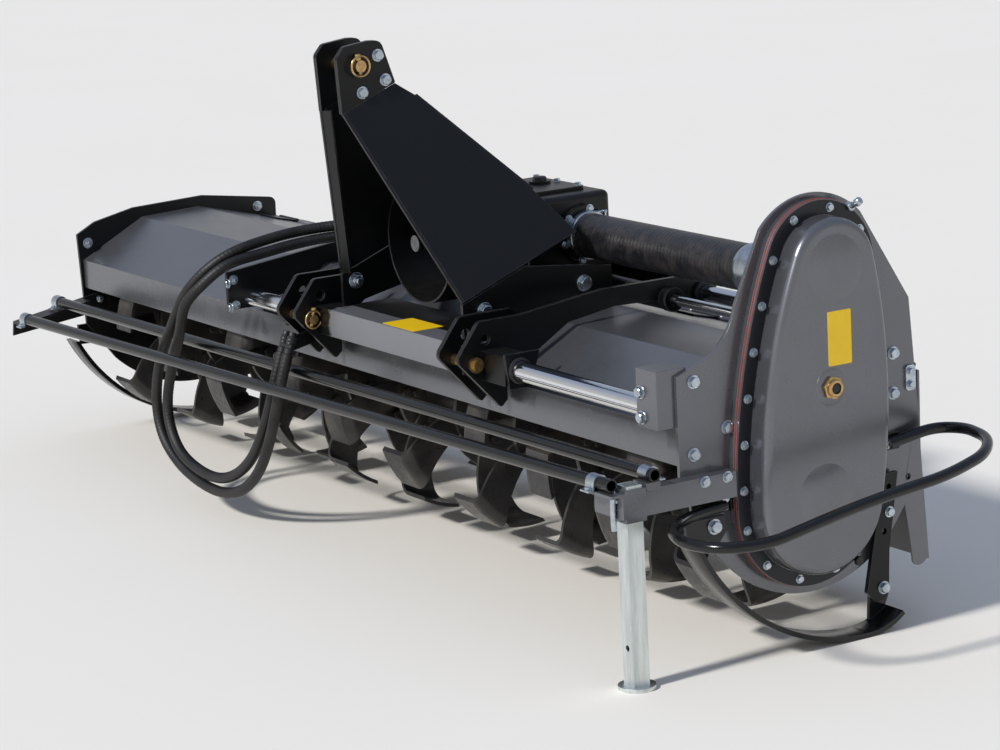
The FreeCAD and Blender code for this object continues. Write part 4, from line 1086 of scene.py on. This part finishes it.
def linch_pin(form: Form, centre: Vector, lean: float, reach: float, ring: float) -> None:
    """A sprung linch pin through the end of a pin that runs along x.

    Args:
        form: The form it is added to.
        centre: Where it crosses the big pin's axis.
        lean: How far its shank leans from upright, in degrees.
        reach: Half the shank's length.
        ring: The radius of its ring.
    """
    angle = math.radians(lean)
    shank = Vector((0, math.sin(angle), math.cos(angle)))
    form.lathe(centre - shank * reach, shank,
               ((0, 2.0), (4, 4.2), (2 * reach - 6, 4.2), (2 * reach - 6, 7.0), (2 * reach + 4, 7.0),
                (2 * reach + 6, 5.0)), 16)
    turns = [math.tau * i / 40 for i in range(40)]
    hub = centre + X * 5.5
    form.sweep([hub + (Y * math.cos(t) + Z * math.sin(t)) * ring for t in turns], 2.4, 10, closed=True)


@dataclass
class Headstock:
    """Bolts, linch pins and blank sticker of the three-point headstock, and the gearbox's trim."""

    ear_bolts: tuple[Pair, ...] = ((-72, 1101), (-57, 1049), (-113, 1028))
    ear_face: float = 49.5
    tower_bolts: Bolts = (((HEAD_X + 255, 28, 579), 16), ((HEAD_X + 255, 274, 603), 16))
    tower_inner: Bolts = (((HEAD_X - 247, 10, 581), 16),)
    tower_outer: Bolts = (((HEAD_X - 255, 28, 579), 16), ((HEAD_X - 255, 274, 603), 16))
    lug_pins: tuple[Triple, ...] = ((35, -81, 502), (613, -81, 502))
    top_pin: Triple = (HEAD_X + 58, -121, 1084)
    sticker: Triple = (370, -23, 528)
    sticker_size: Pair = (130, 74)
    box_top: Triple = (HEAD_X, 321, 770)
    box_rear: Triple = (HEAD_X, 426.5, 685)
    top_cover: Triple = (190, 150, 16)
    rear_cover: Triple = (170, 130, 22)
    top_bolt_rows: Pair = (82, 62)
    rear_bolt_rows: Pair = (73, 53)
    drive_flange: Triple = (479, 350, 684)
    flange_bolt_circle: float = 56.0
    cover_thread: float = 8.0
    filler: Pair = (-10, 24)

    def build(self) -> None:
        """Makes all that dresses the headstock."""
        heads, nuts = (tuple(((HEAD_X + side * self.ear_face, y, z), 12) for y, z in self.ear_bolts)
                       for side in (1, -1))
        fasten("ear_bolts", ((heads, X, 0.0), (nuts, -X, 3.0)), Body.HEADSTOCK)
        fasten("tower_bolts", ((self.tower_bolts, X, 0.0), (self.tower_inner, X, 5.0),
                               (self.tower_outer, -X, 0.0)), Body.HEADSTOCK)
        pins = Form()
        linch_pin(pins, Vector(self.top_pin), -8, 20, 21)
        for place, lean in zip(self.lug_pins, (12, 20)):
            linch_pin(pins, Vector(place), lean, 20, 19)
        pins.piece("linch_pins", YELLOW_ZINC, Body.HEADSTOCK, Slot.GOLD)
        sticker = Form()
        sticker.slab(rounded_plate(*self.sticker_size, 3), Vector(self.sticker), X, Y, 0.5)
        sticker.piece("deck_sticker", YELLOW_VINYL, Body.HEADSTOCK, Slot.GOLD)
        self.build_gearbox()

    def build_gearbox(self) -> None:
        """The gearbox's bolted top and rear covers, filler plug and the bolts round its drive flange."""
        top, rear, flange = Vector(self.box_top), Vector(self.box_rear), Vector(self.drive_flange)
        cover = Form()
        cover.slab(rounded_plate(*self.top_cover), top - Z, X, Y, 9)
        cover.slab(rounded_plate(*self.rear_cover), rear, -X, Z, 8)
        cover.lathe(rear + Y * 7.5, Y, ((0, 46), (7, 46), (9, 43)), 36)
        cover.piece("gearbox_covers", BLACK_COAT, Body.HEADSTOCK, Slot.BLACK, edge=1.5)
        wide, deep = self.top_bolt_rows
        on_top = tuple((tuple(top + Vector((a, b, 8))), self.cover_thread)
                       for a in (-wide, 0, wide) for b in (-deep, deep))
        wide, high = self.rear_bolt_rows
        behind = tuple((tuple(rear + Vector((a, 8, b))), self.cover_thread)
                       for a in (-wide, wide) for b in (-high, high))
        turns = [math.tau * i / 6 + 0.3 for i in range(6)]
        round_shaft = tuple((tuple(flange + (Y * math.cos(t) + Z * math.sin(t)) * self.flange_bolt_circle),
                             self.cover_thread) for t in turns)
        fasten("gearbox_bolts", ((on_top, Z, 0.0), (behind, Y, 0.0), (round_shaft, X, 0.0)), Body.HEADSTOCK)
        plug = Form()
        plug.hexagon(top + Vector((*self.filler, 13.5)), Z, 27, 9)
        plug.piece("filler_plug", BLACK_PLASTIC, Body.HEADSTOCK, Slot.BLACK)


@dataclass
class DriveSleeve:
    """The ribbed sleeve round the drive shaft, which shortens as the headstock shifts."""

    start: float = 479.0
    end: float = 1085.0
    axis: Pair = (350, 684)
    radius: float = 48.0
    pitch: float = 12.0
    depth: float = 0.55

    def build(self) -> None:
        """Makes the sleeve with a rib every pitch and its two band clamps."""
        form = Form()
        length = self.end - self.start
        count = round(length / self.pitch)
        profile = [(0.0, self.radius - 4.0)]
        for i in range(count):
            for share, drop in ((0.0, 1.0), (0.2, 0.35), (0.45, 0.0), (0.7, 0.3)):
                uneven = 0.2 + 0.125 * math.sin(i * 2.4) + 0.1 * math.sin(i * 0.9)
                profile.append(((i + share) * length / count, self.radius - self.depth * (drop + uneven)))
        profile += [(length, self.radius - self.depth), (length, self.radius - 4.0)]
        start = Vector((self.start, *self.axis))
        form.lathe(start, X, profile, 56, closed=True)
        sleeve = form.piece("shaft_sleeve", SLEEVE_RUBBER, Body.HOUSING, Slot.SLEEVE, still=False)
        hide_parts("drive_sleeve")
        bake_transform(sleeve)
        for name, x, body in (("sleeve_band_left", self.start + 3, Body.HEADSTOCK),
                              ("sleeve_band_right", self.end - 15, Body.HOUSING)):
            band = Form()
            middle = Vector((x + 10, *self.axis))
            band.lathe(Vector((x, *self.axis)), X,
                       ((0, 47), (0, 51), (2, 52), (18, 52), (20, 51), (20, 47)), 56, closed=True)
            for way in (22, 40):
                band.slab(rounded_plate(18, 16, 3), middle + Y * way + Z * 42, X, Z, 4)
            band.lathe(middle + Y * 2 + Z * 46, Y, ((0, 4.0), (1, 6), (8, 6), (8, 3.4), (44, 3.4)), 16)
            band.piece(name, ZINC, body, Slot.ZINC)


@dataclass
class FrontGuard:
    """The clamps that hold the two front guard tubes."""

    right_front: Triple = (1317, -200, 393.0)
    right_rear: Triple = (1366, -118, 403.7)
    left_rear: Triple = (-1298, -90.1, 363.2)
    left_front: Triple = (-1252, -200, 340.3)
    radius: float = 13.0
    tube_run: Triple = (2634, 0, 54)
    left_lean: float = 9.8
    foot_reach: float = 28.0
    strip: float = 28.0
    bolt_reach: float = 21.0
    thread: float = 6.0

    def build(self) -> None:
        """Makes a bolted saddle for each tube at each end; one foot is left out beside the stand's leg."""
        saddles, bolts = Form(), Form()
        along = Vector(self.tube_run).normalized()
        lean = math.radians(self.left_lean)
        tilted = Vector((0, -math.sin(lean), math.cos(lean)))
        for place, up, drop, hands in ((self.right_front, Z, 14.1, (1, -1)), (self.right_rear, Z, 13.8, (1,)),
                                       (self.left_rear, tilted, 13.4, (1, -1)),
                                       (self.left_front, tilted, 13.4, (1, -1))):
            centre = Vector(place)
            saddles.saddle(centre, along, up, self.radius, self.foot_reach, self.strip, drop, -1 in hands)
            side = up.cross(along).normalized()
            for hand in hands:
                bolts.bolt(centre + side * hand * self.bolt_reach - up * (drop - 3), up, self.thread)
        saddles.piece("tube_saddles", ZINC, Body.HOUSING, Slot.ZINC)
        bolts.piece("saddle_bolts", ZINC, Body.HOUSING, Slot.ZINC)


@dataclass
class ParkingStand:
    """The stand's locking pin, with the lever that hangs from it."""

    pin_head: Triple = (1362, -192, 363)
    pin_length: float = 84.0
    lever: tuple[Triple, ...] = ((-10, 5, 12), (-6, 1, 17), (-1, -2, 12), (-1, -3, 0), (-2, -3, -20),
                                 (-3, -2, -42), (-3, -1, -56))
    lever_radius: float = 5.5

    def build(self) -> None:
        """Makes the pin and its bent lever."""
        form = Form()
        head = Vector(self.pin_head)
        form.lathe(head, Y, ((0, 5.2), (2, 6), (self.pin_length - 3, 6), (self.pin_length, 4)), 18)
        form.sweep([head + Vector(place) for place in self.lever], self.lever_radius, 14)
        form.piece("stand_pin", ZINC, Body.HOUSING, Slot.ZINC)


@dataclass
class Rotor:
    """The bolts that hold the blades on their flanges."""

    axis: Pair = (256, 286)
    flanges: int = 11
    pitch: float = 240.0
    blades: int = 6
    step: float = 17.0
    flange_half: float = 6.0
    leg: float = 8.0
    radii: Pair = (70.0, 98.0)
    size: float = 13.0

    def build(self) -> None:
        """Makes a head on each blade and a nut behind its flange, twice a blade."""
        form = Form()
        for i in range(self.flanges):
            middle = (i - (self.flanges - 1) / 2) * self.pitch
            for k in range(self.blades):
                hand = 1 if k % 2 else -1
                turn = math.radians(i * self.step + k * 360 / self.blades)
                for radius in self.radii:
                    y = self.axis[0] - math.sin(turn) * radius
                    z = self.axis[1] + math.cos(turn) * radius
                    head = Vector((middle + hand * (self.flange_half + self.leg), y, z))
                    back = Vector((middle - hand * self.flange_half, y, z))
                    form.hexagon(head, X * hand, self.size * 1.55, self.size * 0.65)
                    form.hexagon(back, -X * hand, self.size * 1.55, self.size * 0.75)
        form.piece("blade_bolts", DIPPED_STEEL, Body.ROTOR, Slot.ROTOR)


def dress_frame() -> None:
    """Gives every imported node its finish, and breaks the edges of the plates."""
    slots = {part["node"]: Slot(part["material_slot"]) for part in frame["record"]["subparts"]}
    for name, obj in frame["nodes"].items():
        finish = NODE_FINISH.get(name, SLOT_FINISH[slots[name]])
        obj.data.materials.clear()
        obj.data.materials.append(made(finish))
    for name in DEBURRED:
        obj = frame["nodes"][name]
        weld = obj.modifiers.new("joined corners", "WELD")
        weld.merge_threshold = 0.01 * MM
        soften(obj, 1.0)


def main() -> None:
    """Builds the scene piece by piece."""
    logging.basicConfig(level=logging.INFO, format="%(message)s")
    studio = Studio()
    studio.camera()
    ShiftHoses().build()
    for part in (SidePlates(), GearCase(), GuideBars(), Headstock(), DriveSleeve(), FrontGuard(),
                 ParkingStand(), Rotor()):
        part.build()
    dress_frame()
    studio.light()
    studio.floor()
    bpy.context.scene.view_settings.view_transform = "Standard"


if __name__ == "__main__":
    main()
